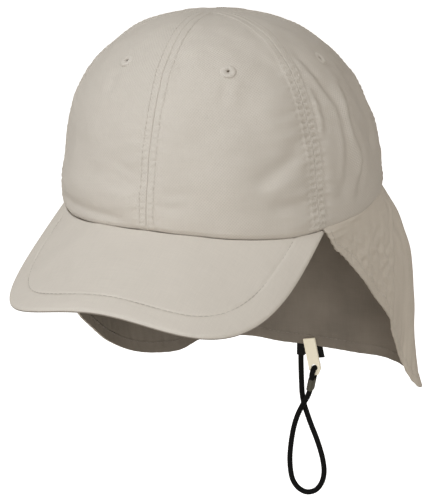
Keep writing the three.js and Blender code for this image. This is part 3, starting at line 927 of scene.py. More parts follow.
@dataclass
class Crown:
    """The six-panel crown with its seams, folds, eyelets and stitching.

    Attributes:
        rim: The head opening.
        finishes: The cap's finishes.
        height: Height of the apex over the head opening.
        apex_forward: How far the apex lies in front of the middle.
        wall: The cloth's thickness.
        eyelet_middle: Radius of an eyelet's ring to the middle of its stitches.
        eyelet_hole: Radius of the hole that is cut in the cloth for it.
        eyelet_stitches: Satin stitches in a ring.
        front_powers: Powers of the front's rise and reach, 2 for a quarter circle.
        back_powers: The same at the back.
        middle_girth: Length round the crown for each radian, which the fine unevenness is laid on.
        climb: Length up the crown that it is laid on.
        crumples: The fine unevenness of the cloth.
        panel_turn: How far round a panel goes, in degrees.
        panels: Each panel's solid, and the turn at which it starts.
        forms: Soft bulges and hollows.
        seams: The seams between the panels.
        folds: Folds along lines.
        eyelet_spots: Each eyelet's turn in degrees and rise.
    """

    rim: HeadRim
    finishes: Finishes
    height: float = 0.1015
    apex_forward: float = 0.017
    wall: float = 0.0013
    eyelet_middle: float = 0.00245
    eyelet_hole: float = 0.0016
    eyelet_stitches: int = 26
    front_powers: tuple[float, float] = (2.26, 2.53)
    back_powers: tuple[float, float] = (1.98, 2.35)
    middle_girth: float = 0.09
    climb: float = 0.155
    crumples: tuple[Crumple, ...] = (Crumple(21, 0.034, 0.00032), Crumple(22, 0.012, 0.0001))
    panel_turn: float = 60.0
    panels: tuple[tuple[str, float], ...] = (
        ("crown_front_left", 0.0),
        ("crown_side_left", 60.0),
        ("crown_back_left", 120.0),
        ("crown_back_right", -180.0),
        ("crown_side_right", -120.0),
        ("crown_front_right", -60.0),
    )
    forms: tuple[Form, ...] = (
        Form(-38, 0.08, 24, 0.05, 0.0026),
        Form(-8, 0.07, 12, 0.05, 0.0012),
        Form(30, 0.12, 16, 0.07, 0.001),
        Form(60, 0.22, 5, 0.2, -0.0014),
        Form(82, 0.3, 6, 0.25, 0.0012),
        Form(96, 0.34, 5, 0.22, -0.0011),
        Form(44, 0.34, 6, 0.1, 0.0009),
        Form(0, 0.3, 4, 0.25, -0.0008),
        Form(-62, 0.36, 38, 0.18, 0.0024),
        Form(140, 0.2, 14, 0.12, 0.0012),
        Form(-130, 0.22, 14, 0.12, 0.0012),
    )
    seams: tuple[Seam, ...] = (
        Seam(0, 0.00026, 0.00022, 0.2, 3),
        Seam(60, 0.0011, 0.0004, 0.12, 5),
        Seam(120, 0.00055, 0.00036, 0.15, 7),
        Seam(180, 0.00045, 0.00036, 0.15, 11),
        Seam(-120, 0.00055, 0.00036, 0.15, 13),
        Seam(-60, 0.00065, 0.00036, 0.15, 17),
    )
    folds: tuple[Fold, ...] = (
        Fold(
            (
                (85.5, 0.47),
                (83.5, 0.372),
                (81.5, 0.312),
                (81.2, 0.252),
                (83.2, 0.207),
                (84.0, 0.165),
                (82.8, 0.128),
                (80.5, 0.097),
                (77.5, 0.06),
                (75.8, 0.028),
            ),
            0.0046,
            -0.0015,
            FoldForm.STEP,
        ),
        Fold(
            (
                (67.9, 0.66),
                (68.9, 0.545),
                (71.7, 0.461),
                (74.5, 0.397),
                (75.8, 0.357),
                (75.5, 0.295),
                (75.0, 0.245),
                (74.2, 0.197),
                (73.0, 0.152),
                (71.2, 0.108),
                (68.2, 0.057),
            ),
            0.0032,
            -0.0008,
            FoldForm.STEP,
        ),
        Fold(
            ((66.0, 0.47), (67.2, 0.395), (67.0, 0.35), (66.8, 0.308), (65.5, 0.275), (64.2, 0.255)),
            0.0026,
            -0.0007,
            FoldForm.STEP,
        ),
        Fold(((101.0, 0.28), (99.0, 0.218), (95.0, 0.18)), 0.004, -0.001),
        Fold(((95.2, 0.68), (93.4, 0.547), (94.6, 0.44), (94.0, 0.338), (95.0, 0.2)), 0.006, 0.0008),
        Fold(((84, 0.34), (90, 0.28), (96, 0.24), (99, 0.2)), 0.005, -0.0007),
        Fold(((102.0, 0.07), (92.0, 0.055), (82.0, 0.03)), 0.003, 0.0005),
        Fold(((69.2, 0.2), (69.6, 0.13), (70.6, 0.06)), 0.004, -0.0007),
        Fold(((75.0, 0.16), (75.6, 0.09), (76.4, 0.03)), 0.005, 0.0006),
        Fold(((57.6, 0.3), (55.0, 0.265), (49.2, 0.21), (42.4, 0.172), (34.6, 0.13)), 0.005, -0.0017),
        Fold(((57.5, 0.19), (55.4, 0.165), (49.2, 0.155), (43.4, 0.128), (38.9, 0.1)), 0.0055, 0.0007),
        Fold(((58.0, 0.066), (54.0, 0.07), (49.2, 0.078), (40.0, 0.09)), 0.004, -0.0009),
        Fold(((58.0, 0.042), (52.0, 0.048), (44.0, 0.058)), 0.003, 0.0006),
        Fold(((57.6, 0.12), (52.0, 0.112), (46.0, 0.116)), 0.0035, 0.0005),
        Fold(((43.0, 0.6), (47.0, 0.585), (51.0, 0.56), (55.5, 0.5)), 0.004, -0.0005),
        Fold(((29.6, 0.515), (27.8, 0.455), (26.0, 0.39)), 0.003, -0.0008),
        Fold(((31.6, 0.515), (30.0, 0.45), (28.6, 0.38)), 0.004, 0.0004),
        Fold(((-28.0, 0.52), (-26.0, 0.47), (-24.5, 0.4)), 0.003, -0.0007),
        Fold(((9.4, 0.65), (8.6, 0.56), (7.2, 0.457), (5.2, 0.38)), 0.0035, -0.0007),
        Fold(((-10.8, 0.48), (-7.0, 0.4), (-3.0, 0.35)), 0.0035, -0.0005),
        Fold(((-54.0, 0.26), (-46.0, 0.22), (-40.0, 0.18)), 0.006, -0.0006),
        Fold(((-17.5, 0.155), (-10.0, 0.13), (-2.0, 0.107)), 0.0025, -0.0005),
        Fold(((-18.5, 0.12), (-10.0, 0.105), (-2.0, 0.085)), 0.0025, -0.0005),
        Fold(((-16.5, 0.19), (-9.0, 0.165), (-2.0, 0.138)), 0.0025, -0.0004),
        Fold(((18.0, 0.12), (10.0, 0.1), (3.0, 0.078)), 0.0028, -0.0004),
        Fold(((16.0, 0.075), (9.0, 0.062), (3.0, 0.052)), 0.0025, -0.0004),
        Fold(
            ((-58.0, 0.045), (-45.0, 0.036), (-33.0, 0.03), (-15.4, 0.022), (-2.0, 0.012)), 0.0028, -0.0012
        ),
        Fold(((115.0, 0.5), (108.0, 0.4), (106.0, 0.28), (104.0, 0.14)), 0.007, 0.0009),
        Fold(((128.0, 0.45), (133.0, 0.33), (140.0, 0.24)), 0.007, -0.0009),
        Fold(((124.0, 0.2), (134.0, 0.16), (146.0, 0.15)), 0.006, 0.0009),
        Fold(((176.0, 0.26), (164.0, 0.2), (152.0, 0.12)), 0.006, -0.0009),
        Fold(((-176.0, 0.24), (-166.0, 0.2), (-150.0, 0.1)), 0.006, -0.0009),
        Fold(((-123.0, 0.3), (-132.0, 0.22), (-144.0, 0.16)), 0.006, 0.0009),
        Fold(((-117.0, 0.34), (-104.0, 0.26), (-92.0, 0.14)), 0.007, -0.001),
        Fold(((-63.0, 0.3), (-72.0, 0.22), (-86.0, 0.16)), 0.006, -0.001),
        Fold(((-64.0, 0.5), (-72.0, 0.4), (-76.0, 0.3)), 0.006, 0.0008),
    )
    eyelet_spots: tuple[tuple[float, float], ...] = (
        (-24.7, 0.563),
        (29.9, 0.544),
        (85.2, 0.558),
        (-85.2, 0.558),
        (150.0, 0.555),
        (-150.0, 0.555),
    )

    def bare(self, turn: Array, rise: Array) -> tuple[Array, Array]:
        """The crown's plain form.

        Args:
            turn: Turns in radians.
            rise: Shares from the rim at 0 to the apex at 1.

        Returns:
            Points, and the outward direction at each.
        """
        turn, rise = np.broadcast_arrays(np.asarray(turn, float), np.asarray(rise, float))
        behind = smooth_step(0.5 - 0.5 * np.cos(turn) / 0.6, 0.0, 1.0)
        powers = zip(self.front_powers, self.back_powers)
        rise_power, reach_power = (front + (back - front) * behind for front, back in powers)
        lift = np.clip(rise, 0.0, 1.0) * math.pi / 2
        reach = np.clip(np.cos(lift), 0.0, 1.0) ** (2.0 / reach_power)
        climb = np.sin(lift) ** (2.0 / rise_power)
        x, y = self.rim.plan(turn)
        points = np.stack(
            [
                x * reach,
                y * reach - self.apex_forward * (1.0 - reach),
                self.rim.height(turn) * (1.0 - climb) + self.height * climb,
            ],
            -1,
        )
        away = np.stack([np.sin(turn) * reach, -np.cos(turn) * reach, climb], -1)
        return points, unit(away)

    def girth(self, turn: float, rise: Array) -> Array:
        """Length round the crown for each radian of turn.

        Args:
            turn: A turn in radians.
            rise: Shares from the rim at 0 to the apex at 1.

        Returns:
            The lengths.
        """
        step = 0.002
        ahead, _ = self.bare(turn + step, rise)
        before, _ = self.bare(turn - step, rise)
        return np.linalg.norm(ahead - before, axis=-1) / (2 * step)

    def climbed(self, turn: float, rise: Array) -> Array:
        """Length of cloth from the rim upwards.

        Args:
            turn: A turn in radians.
            rise: The rises to climb to.

        Returns:
            The lengths.
        """
        rises = np.linspace(0.0, 1.0, 300)
        points, _ = self.bare(turn, rises)
        return np.interp(rise, rises, run_along(points))

    def relief(self, turn: Array, rise: Array) -> Array:
        """Height of every form, seam and fold over the plain form.

        Args:
            turn: Turns in radians.
            rise: Shares from the rim at 0 to the apex at 1.

        Returns:
            The heights.
        """
        total = np.zeros(np.shape(turn))
        for form in self.forms:
            off = nearest_turn(turn, math.radians(form.turn)) / math.radians(form.turn_spread)
            total += form.out * np.exp(-(off**2) - ((rise - form.rise) / form.rise_spread) ** 2)
        total *= smooth_step(rise, 0.0, 0.06)
        band = np.zeros(np.shape(turn))
        for seam in self.seams:
            middle = math.radians(seam.turn)
            girth = self.girth(middle, rise)
            across = nearest_turn(turn, middle) * girth
            up = self.climbed(middle, rise)
            band = np.maximum(band, seam.band(across))
            total += seam.relief(across, up, rise) * smooth_step(girth, 0.003, 0.014)
        total += band
        for fold in self.folds:
            turns, rises = np.radians([p[0] for p in fold.path]), np.array([p[1] for p in fold.path])
            middle = float(np.mean(turns))
            spots = nearest_turn(turns, middle) * self.girth(middle, rises)
            path = np.stack([spots, self.climbed(middle, rises)], -1)
            across = nearest_turn(turn, middle) * self.girth(middle, rise)
            total += fold.relief(across, self.climbed(middle, rise), path)
        girth = np.maximum(self.girth(0.5, rise), 0.004)
        chart = nearest_turn(turn, 0.0) * self.middle_girth
        share = np.minimum(girth / self.middle_girth, 1.0)
        along = rise * self.climb
        for crumple in self.crumples:
            total += share * crumple.relief(chart, along)
        lip = 0.0006 * bell(along - 0.004, 0.004) - 0.0009 * (1.0 - smooth_step(along, 0.0, 0.0016))
        return total + lip

    def surface(self, turn: Array, rise: Array) -> tuple[Array, Array]:
        """Points of the finished cloth and the outward direction at each."""
        points, away = self.bare(turn, rise)
        return points + away * self.relief(turn, rise)[..., None], away

    def panel(self, name: str, start: float, end: float) -> bpy.types.Object:
        """Make one panel between two seams.

        Args:
            name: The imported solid's name.
            start: The first seam's turn in degrees.
            end: The second seam's turn in degrees.

        Returns:
            The panel.
        """
        low, high = math.radians(start), math.radians(end)
        middle = (low + high) / 2
        width = float(self.girth(middle, np.array(0.0))) * (high - low)
        rows = np.concatenate([np.linspace(0.0, 0.6, 206)[:-1], np.linspace(0.6, 1.0, 72)])
        sheet = Sheet(crowded_ends(width, 0.0004, 0.002, 0.0052), rows)
        turn = low + (high - low) * sheet.across
        points, _ = self.surface(turn, sheet.along)
        round_cloth = (turn - middle) * self.girth(middle, sheet.along)
        flat = np.stack([round_cloth, self.climbed(middle, sheet.along)], -1)
        sheet.lay(points, flat + np.array([0.2, 0.0]))
        for spot_turn, spot_rise in self.eyelet_spots:
            centre, _ = self.surface(math.radians(spot_turn), np.array(spot_rise))
            hole = Vector(centre)
            faces = sheet.mesh.faces
            near = [f for f in faces if (f.calc_center_median() - hole).length < self.eyelet_hole]
            bmesh.ops.delete(sheet.mesh, geom=near, context="FACES")
        bmesh.ops.remove_doubles(sheet.mesh, verts=sheet.mesh.verts, dist=2 * JOIN_DISTANCE)
        material = self.finishes.of(self.finishes.crown)
        piece = placed_piece(sheet.mesh, f"{name}_cloth", "cap", material, (name,))
        thickened(piece, self.wall)
        return piece

    def eyelets(self) -> bpy.types.Object:
        """Make the sewn eyelets, a ring of satin stitches round a hole in each panel.

        Returns:
            The eyelets as one piece.
        """
        rings = bmesh.new()
        for turn, rise in self.eyelet_spots:
            centre, away = self.surface(math.radians(turn), np.array(rise))
            side = Vector(away).cross(Vector((0.0, 0.0, 1.0))).normalized()
            lift = side.cross(Vector(away)).normalized()
            frame_turn = Matrix((side, lift, Vector(away))).transposed().to_4x4()
            place = Matrix.Translation(Vector(centre) - Vector(away) * 0.00045) @ frame_turn
            ring = bmesh.ops.create_circle(
                rings,
                segments=12,
                radius=1.0,
                matrix=place
                @ Matrix.Translation((self.eyelet_middle, 0.0, 0.0))
                @ Matrix.Rotation(math.pi / 2, 4, "X")
                @ Matrix.Diagonal((self.eyelet_middle - 0.0007, 0.00095, 1.0, 1.0)),
            )
            edges = list({edge for vertex in ring["verts"] for edge in vertex.link_edges})
            before = set(rings.verts) - set(ring["verts"])
            bmesh.ops.spin(
                rings,
                geom=ring["verts"] + edges,
                cent=place.to_translation(),
                axis=Vector(away),
                angle=2 * math.pi,
                steps=self.eyelet_stitches * 4,
                use_merge=True,
            )
            for vertex in set(rings.verts) - before:
                local = place.inverted() @ vertex.co
                heading = math.atan2(local.y, local.x)
                middle = Vector((math.cos(heading), math.sin(heading), 0.0)) * self.eyelet_middle
                plump = 1.0 + 0.07 * math.cos(self.eyelet_stitches * heading)
                vertex.co = place @ (middle + (local - middle) * plump)
        bmesh.ops.recalc_face_normals(rings, faces=rings.faces)
        material = self.finishes.of(self.finishes.eyelet)
        return placed_piece(smoothed(rings), "crown_eyelets", "cap", material)

    def stitching(self) -> bpy.types.Object:
        """Sew the two rows of stitches along each seam.

        Returns:
            The stitches as one piece.
        """
        mesh = bmesh.new()
        row = StitchRow()
        for seam in self.seams:
            middle = math.radians(seam.turn)
            rise = np.linspace(0.012, 0.985, 400)
            girth = self.girth(middle, rise)
            rise, girth = rise[girth > 0.011], girth[girth > 0.011]
            for side in (-1.0, 1.0):
                line, away = self.surface(middle + side * seam.stitch_off / girth, rise)
                row.sew(mesh, line + away * 0.00008, away)
        material = self.finishes.of(self.finishes.thread)
        return placed_piece(smoothed(mesh), "crown_stitching", "cap", material)

    def build(self) -> None:
        """Make the panels, eyelets and stitching."""
        for name, start in self.panels:
            self.panel(name, start, start + self.panel_turn)
        self.eyelets()
        self.stitching()


@dataclass
class Brim:
    """The curved, cloth-covered brim with its row of stitches inside the edge.

    Attributes:
        rim: The head opening.
        finishes: The cap's finishes.
        half_width: Half of its width.
        reach: From the line between its ends to its front edge.
        squareness: Power of its outline, 2 for an ellipse and more for a squarer one.
        thickness: Thickness over both cloths and the board.
        stitch_inset: Distance of the stitches from the edge.
        stitch_depth: How deep the stitches sit under the plain face.
        tuck: How far it reaches in under the crown.
        roundness: Power of its edge's section, 2 for a half circle.
        groove: Depth of the groove that the stitches pull in.
        hem: Rise of the turned edge outside them.
        crumples: The fine unevenness of its cloth.
    """

    rim: HeadRim
    finishes: Finishes
    half_width: float = 0.077
    reach: float = 0.1025
    squareness: float = 3.25
    thickness: float = 0.0024
    stitch_inset: float = 0.01
    stitch_depth: float = 0.00032
    tuck: float = 0.0016
    roundness: float = 2.6
    groove: float = 0.0004
    hem: float = 0.0002
    crumples: tuple[Crumple, Crumple] = (Crumple(31, 0.03, 0.00018), Crumple(32, 0.011, 0.00004))

    def edge(self, heading: Array) -> tuple[Array, Array]:
        """The outer edge's plan.

        Args:
            heading: Headings from the middle of the line between the brim's ends, in radians.

        Returns:
            The edge's x and y.
        """
        across = np.abs(np.sin(heading)) ** self.squareness
        along = np.abs(np.cos(heading)) ** self.squareness
        length = (across + along) ** (-1.0 / self.squareness)
        x = self.half_width * np.sin(heading) * length
        return x, -self.rim.brim_end_back - self.reach * np.cos(heading) * length

    def inset(self, x: Array, y: Array) -> Array:
        """Distance of points of the plan from the outer edge.

        Args:
            x: The points' x.
            y: Their y.

        Returns:
            The distances.
        """
        edge = np.stack(self.edge(np.linspace(-math.pi / 2, math.pi / 2, 721)), -1)
        best = np.full(np.shape(x), FAR)
        for start, end in zip(edge[:-1], edge[1:]):
            step = end - start
            ahead = (x - start[0]) * step[0] + (y - start[1]) * step[1]
            place = np.clip(ahead / (step @ step), 0.0, 1.0)
            off_x, off_y = x - start[0] - place * step[0], y - start[1] - place * step[1]
            best = np.minimum(best, np.hypot(off_x, off_y))
        return best

    def build(self) -> None:
        """Make the brim, one skin from the rim out below and back above, and its stitching."""
        crowded = 1.0 - np.array([0.0, 0.002, 0.005, 0.009, 0.014, 0.02, 0.028, 0.038])
        spread = [np.linspace(0.95, 0.9, 5, endpoint=False), np.linspace(0.9, 0.72, 34, endpoint=False)]
        above = np.concatenate([crowded, *spread, np.linspace(0.72, 0.0, 56)])
        out = np.concatenate([[0.0], above[::-1], above[1:], [0.0]])
        rows = np.linspace(0.0, 1.0, len(out))
        sheet = Sheet(crowded_ends(0.15, 0.0006, 0.001, 0.002), rows)
        share = sheet.across * 2.0 - 1.0
        row = np.rint(sheet.along * (len(out) - 1)).astype(int)
        tucked = (row == 0) | (row == len(out) - 1)
        beneath = row <= len(above)
        turn = share * self.rim.brim_end
        rim_x, rim_y = self.rim.plan(turn)
        tuck_x, tuck_y = self.rim.plan(turn, self.tuck)
        edge_x, edge_y = self.edge(share * math.pi / 2)
        x = np.where(tucked, tuck_x, rim_x + (edge_x - rim_x) * out[row])
        y = np.where(tucked, tuck_y, rim_y + (edge_y - rim_y) * out[row])
        inset = self.inset(x, y)
        half = self.thickness / 2
        full = (1.0 - (1.0 - np.clip(inset / half, 0.0, 1.0)) ** self.roundness) ** (1.0 / self.roundness)
        groove = self.groove * bell(inset - self.stitch_inset, 0.00045)
        outside = 1.0 - smooth_step(inset, 0.008, self.stitch_inset)
        hem = self.hem * smooth_step(inset, 0.0, 0.004) * outside
        crumple = self.crumples[0].relief(x, y) + self.crumples[1].relief(x, y)
        ripple = 0.00005 * np.sin((np.arctan2(x, -y) * 0.11) / 0.0011)
        ripple = ripple * bell(inset - self.stitch_inset, 0.003)
        middle = self.rim.brim_height(x, y) - half + (crumple + ripple) * smooth_step(inset, 0.0, 0.004)
        height = middle + np.where(beneath, -1.0, 1.0) * (half * full - groove + hem)
        height = np.where(tucked, self.rim.height(turn) - half / 2, height)
        sheet.lay(np.stack([x, y, height], -1), np.stack([x, y], -1))
        # Faces wholly beneath take the second material, the darker underside cloth of painted shade.
        for face in sheet.mesh.faces:
            face.material_index = int(all(beneath[vertex.index] for vertex in face.verts))
        sealed(sheet.mesh)
        material = self.finishes.of(self.finishes.brim)
        piece = placed_piece(sheet.mesh, "brim_cloth_over_board", "cap", material, ("brim",))
        piece.data.materials.append(self.finishes.of(self.finishes.painted_shade_underbrim))
        self.stitching()

    def stitching(self) -> bpy.types.Object:
        """Sew the row of stitches inside the edge, above and below.

        Returns:
            The stitches as one piece.
        """
        edge_x, edge_y = self.edge(np.linspace(-math.pi / 2, math.pi / 2, 900))
        step_x, step_y = np.gradient(edge_x), np.gradient(edge_y)
        length = np.hypot(step_x, step_y)
        x = edge_x - self.stitch_inset * step_y / length
        y = edge_y + self.stitch_inset * step_x / length
        turn = np.arctan2(x / self.rim.half_width, -y / self.rim.front_length)
        rim_x, rim_y = self.rim.plan(turn)
        clear = (np.hypot(x, y) > np.hypot(rim_x, rim_y) + 0.0015) & (y < -self.rim.brim_end_back)
        x, y = x[clear], y[clear]
        top = np.stack([x, y, self.rim.brim_height(x, y) - self.stitch_depth], -1)
        fall = np.full(len(x), -self.rim.brim_slope)
        away = np.stack([self.rim.brim_curve * x, fall, np.ones(len(x))], -1)
        away = unit(away)
        mesh = bmesh.new()
        row = StitchRow(pitch=0.0029, length=0.0026, width=0.00042, height=0.0003)
        row.sew(mesh, top, away)
        row.sew(mesh, top - away * (self.thickness - 2 * self.stitch_depth), -away)
        material = self.finishes.of(self.finishes.seam_thread)
        return placed_piece(smoothed(mesh), "brim_stitching", "cap", material)


@dataclass(frozen=True)
class Rib:
    """A rib of the flap from the rim to its edge.

    Attributes:
        along: Where it leaves the rim, from the brim's left end at 0 round to its right end at 1.
        side: Its lower end to the side, as a share of the head opening's half width.
        back: Its lower end behind, as a share of the opening's length at the back.
        drop: Its lower end below, as a share of the flap's length.
        flare: Bow of its upper third, as a share of its own length.
        belly: Bow of its lower third.
    """

    along: float
    side: float
    back: float
    drop: float
    flare: float
    belly: float


@dataclass
class NeckFlap:
    """The neck flap, one sheet with a hem along its front edges and its foot.

    Attributes:
        rim: The head opening.
        finishes: The cap's finishes.
        length: The length that the ribs' drops are shares of.
        round_length: Length round it at its middle.
        wall: The cloth's thickness in the hem.
        single_wall: The share of that thickness outside the hem.
        start_gap: Gap along the rim between the brim's end and the flap.
        hem: The hem's width.
        hem_height: How much the hem stands out.
        stitch_inset: Distance of the stitches from the hem's inner edge.
        stitch_groove: Depth of the groove that they pull in.
        pucker_pitch: Distance from one pucker of the hem to the next.
        pucker_height: The puckers' height.
        pucker_reach: How far they reach from the hem.
        fine_step: Distance between rows and columns near the edges.
        coarse_step: The same elsewhere.
        crease_share: The rib place of the standing crease, at half of its height.
        crease_bow: How far it bows round the flap above and below.
        crease_height: The crease's height.
        slack: Slow waves of the whole flap.
        ease: Shorter waves, away from its edge.
        crinkle: Fine waves in front of the crease.
        ribs: The ribs that its plain form goes through.
    """

    rim: HeadRim
    finishes: Finishes
    length: float = 0.135
    round_length: float = 0.56
    wall: float = 0.0013
    single_wall: float = 0.72
    start_gap: float = 0.0008
    hem: float = 0.0085
    hem_height: float = 0.00042
    stitch_inset: float = 0.0014
    stitch_groove: float = 0.00032
    pucker_pitch: float = 0.0068
    pucker_height: float = 0.00028
    pucker_reach: float = 0.011
    fine_step: float = 0.0007
    coarse_step: float = 0.0019
    crease_share: float = 0.181
    crease_bow: float = 0.06
    crease_height: float = 0.004
    slack: Crumple = Crumple(41, 0.05, 0.0011, stretch=2.6)
    ease: Crumple = Crumple(42, 0.016, 0.00026, stretch=1.6)
    crinkle: Crumple = Crumple(43, 0.0088, 0.0005)
    ribs: tuple[Rib, ...] = (
        Rib(0.0, 0.905, -0.3, 0.13, 0.02, 0.0),
        Rib(0.0307, 0.92, -0.2, 0.18, 0.03, 0.0),
        Rib(0.0687, 0.935, -0.075, 0.252, 0.04, 0.0),
        Rib(0.111, 0.95, 0.115, 0.367, 0.04, 0.01),
        Rib(0.1533, 0.957, 0.32, 0.49, 0.04, 0.02),
        Rib(0.1956, 0.962, 0.53, 0.62, 0.05, 0.03),
        Rib(0.2209, 0.945, 0.64, 0.72, 0.06, 0.03),
        Rib(0.2421, 0.92, 0.84, 0.88, 0.11, 0.04),
        Rib(0.2632, 0.95, 0.955, 1.005, 0.145, 0.03),
        Rib(0.2844, 0.985, 1.06, 1.08, 0.165, 0.01),
        Rib(0.3055, 0.965, 1.165, 1.095, 0.165, 0.0),
        Rib(0.3309, 0.85, 1.205, 1.035, 0.14, 0.03),
        Rib(0.3647, 0.68, 1.198, 1.0, 0.11, 0.05),
        Rib(0.407, 0.46, 1.196, 1.0, 0.09, 0.05),
        Rib(0.445, 0.28, 1.196, 0.995, 0.09, 0.05),
        Rib(0.4873, 0.092, 1.196, 0.995, 0.09, 0.05),
        Rib(0.5296, -0.11, 1.196, 0.995, 0.09, 0.05),
        Rib(0.5761, -0.33, 1.165, 0.985, 0.09, 0.05),
        Rib(0.6226, -0.52, 1.08, 0.975, 0.09, 0.05),
        Rib(0.6691, -0.68, 0.93, 0.965, 0.08, 0.05),
        Rib(0.7156, -0.79, 0.755, 0.99, 0.07, 0.05),
        Rib(0.7621, -0.88, 0.58, 0.97, 0.06, 0.04),
        Rib(0.8087, -0.95, 0.4, 0.92, 0.05, 0.04),
        Rib(0.8552, -0.985, 0.2, 0.83, 0.04, 0.03),
        Rib(0.9017, -0.99, 0.03, 0.74, 0.04, 0.03),
        Rib(0.9482, -0.98, -0.11, 0.65, 0.03, 0.02),
        Rib(1.0, -0.965, -0.23, 0.57, 0.02, 0.02),
    )

    def rib_values(self, share: Array) -> dict[str, Array]:
        """The ribs' values between the ribs, on smooth curves.

        Args:
            share: Shares of the way through the table of ribs.

        Returns:
            Each column's values, by its name.
        """
        place = np.clip(share, 0.0, 1.0) * (len(self.ribs) - 1)
        first = np.minimum(place.astype(int), len(self.ribs) - 2)
        t = place - first
        values = {}
        for key in ("along", "side", "back", "drop", "flare", "belly"):
            column = np.array([getattr(rib, key) for rib in self.ribs])
            a, b, c, d = (column[np.clip(first + step, 0, len(column) - 1)] for step in (-1, 0, 1, 2))
            slope_b, slope_c = (c - a) / 2, (d - b) / 2
            start = b * (2 * t**3 - 3 * t**2 + 1) + slope_b * (t**3 - 2 * t**2 + t)
            values[key] = start + c * (3 * t**2 - 2 * t**3) + slope_c * (t**3 - t**2)
        return values

    def bare(self, share: Array, down: Array) -> Array:
        """Points of the flap's plain form.

        Args:
            share: The way round through the ribs, from 0 to 1.
            down: The way down a rib, from 0 at the rim to 1 at the edge.

        Returns:
            The points.
        """
        rib = self.rib_values(share)
        turn = self.rim_turn(rib["along"])
        half_width, back_length = self.rim.half_width, self.rim.back_length
        x, y = self.rim.plan(turn)
        start = np.stack([x, y, self.rim.height(turn)], -1)
        end = np.stack([rib["side"] * half_width, rib["back"] * back_length, -rib["drop"] * self.length], -1)
        third = (end - start) / 3
        length = np.linalg.norm(end - start, axis=-1)[..., None]
        outward = np.stack([x / half_width**2, y / back_length**2, np.zeros(np.shape(x))], -1)
        outward = unit(outward)
        upper = start + third + outward * rib["flare"][..., None] * length
        lower = end - third + outward * rib["belly"][..., None] * length
        t = np.asarray(down)[..., None]
        return (1 - t) ** 3 * start + 3 * (1 - t) ** 2 * t * upper + 3 * (1 - t) * t**2 * lower + t**3 * end

    def rim_turn(self, along: Array) -> Array:
        """Turns of the rim at shares of the way round behind the brim, in radians."""
        first = self.rim.brim_end + self.start_gap / self.rim.half_width
        return first + (2 * math.pi - 2 * first) * along

    def outward(self, share: Array, down: Array) -> Array:
        """The outward direction.

        Args:
            share: The way round through the ribs.
            down: The way down a rib.

        Returns:
            The directions, of length 1.
        """
        step = 0.002
        right, left = (self.bare(np.clip(share + by, 0, 1), down) for by in (step, -step))
        lower, upper = (self.bare(share, np.clip(down + by, 0, 1)) for by in (step, -step))
        return unit(np.cross(lower - upper, right - left))

    def chart(self, share: Array, down: Array) -> tuple[Array, Array, Array]:
        """Lengths on the flap.

        Args:
            share: The way round through the ribs.
            down: The way down a rib.

        Returns:
            The length round it, the length down from the rim, and the rib's whole length.
        """
        shares = np.linspace(0.0, 1.0, 200)
        middle = self.bare(shares, np.full(200, 0.6))
        run = run_along(middle)
        steps = np.linspace(0.0, 1.0, 40)
        ribs = np.stack([self.bare(shares, np.full(200, step)) for step in steps])
        lengths = np.linalg.norm(np.diff(ribs, axis=0), axis=-1).sum(0)
        length = np.interp(share, shares, lengths)
        return np.interp(share, shares, run), down * length, length

    def relief(self, share: Array, down: Array) -> tuple[Array, Array]:
        """Height of the hems, puckers and folds over the plain form, and the wall's share.

        Args:
            share: The way round through the ribs.
            down: The way down a rib.

        Returns:
            The heights, and the share of the full wall at each place.
        """
        around, below, length = self.chart(share, down)
        total_round, _, _ = self.chart(np.array(1.0), np.array(0.5))
        foot = length - below
        side = np.minimum(around, total_round - around)
        edge = np.minimum(foot, side)
        band = 1.0 - smooth_step(edge, self.hem - 0.0006, self.hem + 0.0009)
        groove = bell(edge - (self.hem - self.stitch_inset), 0.0005)
        hem_run = np.where(foot < side, around, below)
        wobble = 0.9 * np.sin(hem_run / 0.009 + 0.4) + 0.5 * np.sin(hem_run / 0.0213)
        pucker = np.sin(2 * math.pi * hem_run / self.pucker_pitch + wobble)
        corner = smooth_step(np.abs(foot - side), 0.0, 0.005) * smooth_step(down, 0.0, 0.2)
        fade = np.exp(-np.abs(edge - self.hem) / self.pucker_reach)
        puckers = self.pucker_height * corner * pucker * fade
        free = smooth_step(down, 0.0, 0.12)
        crumple = self.slack.relief(around, below) * free
        calm = smooth_step(edge, 0.0, 0.009)
        crumple = crumple + self.ease.relief(around, below) * free * calm
        creased = smooth_step(share, 0.02, 0.08) * (1.0 - smooth_step(share, 0.17, 0.2))
        fine = self.crinkle.relief(around, below)
        crumple = crumple + creased * fine * smooth_step(down, 0.1, 0.5) * calm
        crease = self.crease_share + self.crease_bow * (down - 0.5) ** 2
        beside = (share - crease) * self.round_length
        reach = np.sqrt(beside**2 + 0.0006**2)
        ridge = self.crease_height * (0.6 * np.exp(-reach / 0.011) + 0.4 * np.exp(-reach / 0.0026))
        ridge = ridge * smooth_step(down, 0.0, 0.14) * (1.0 - 0.75 * smooth_step(down, 0.8, 1.0))
        total = crumple + puckers + self.hem_height * band - self.stitch_groove * groove + ridge
        return total, self.single_wall + (1.0 - self.single_wall) * band - 0.05 * groove

    def surface(self, share: Array, down: Array) -> tuple[Array, Array]:
        """The finished cloth.

        Args:
            share: The way round through the ribs.
            down: The way down a rib.

        Returns:
            Points of it, and the outward direction at each.
        """
        away = self.outward(share, down)
        height, _ = self.relief(share, down)
        return self.bare(share, down) + away * height[..., None], away

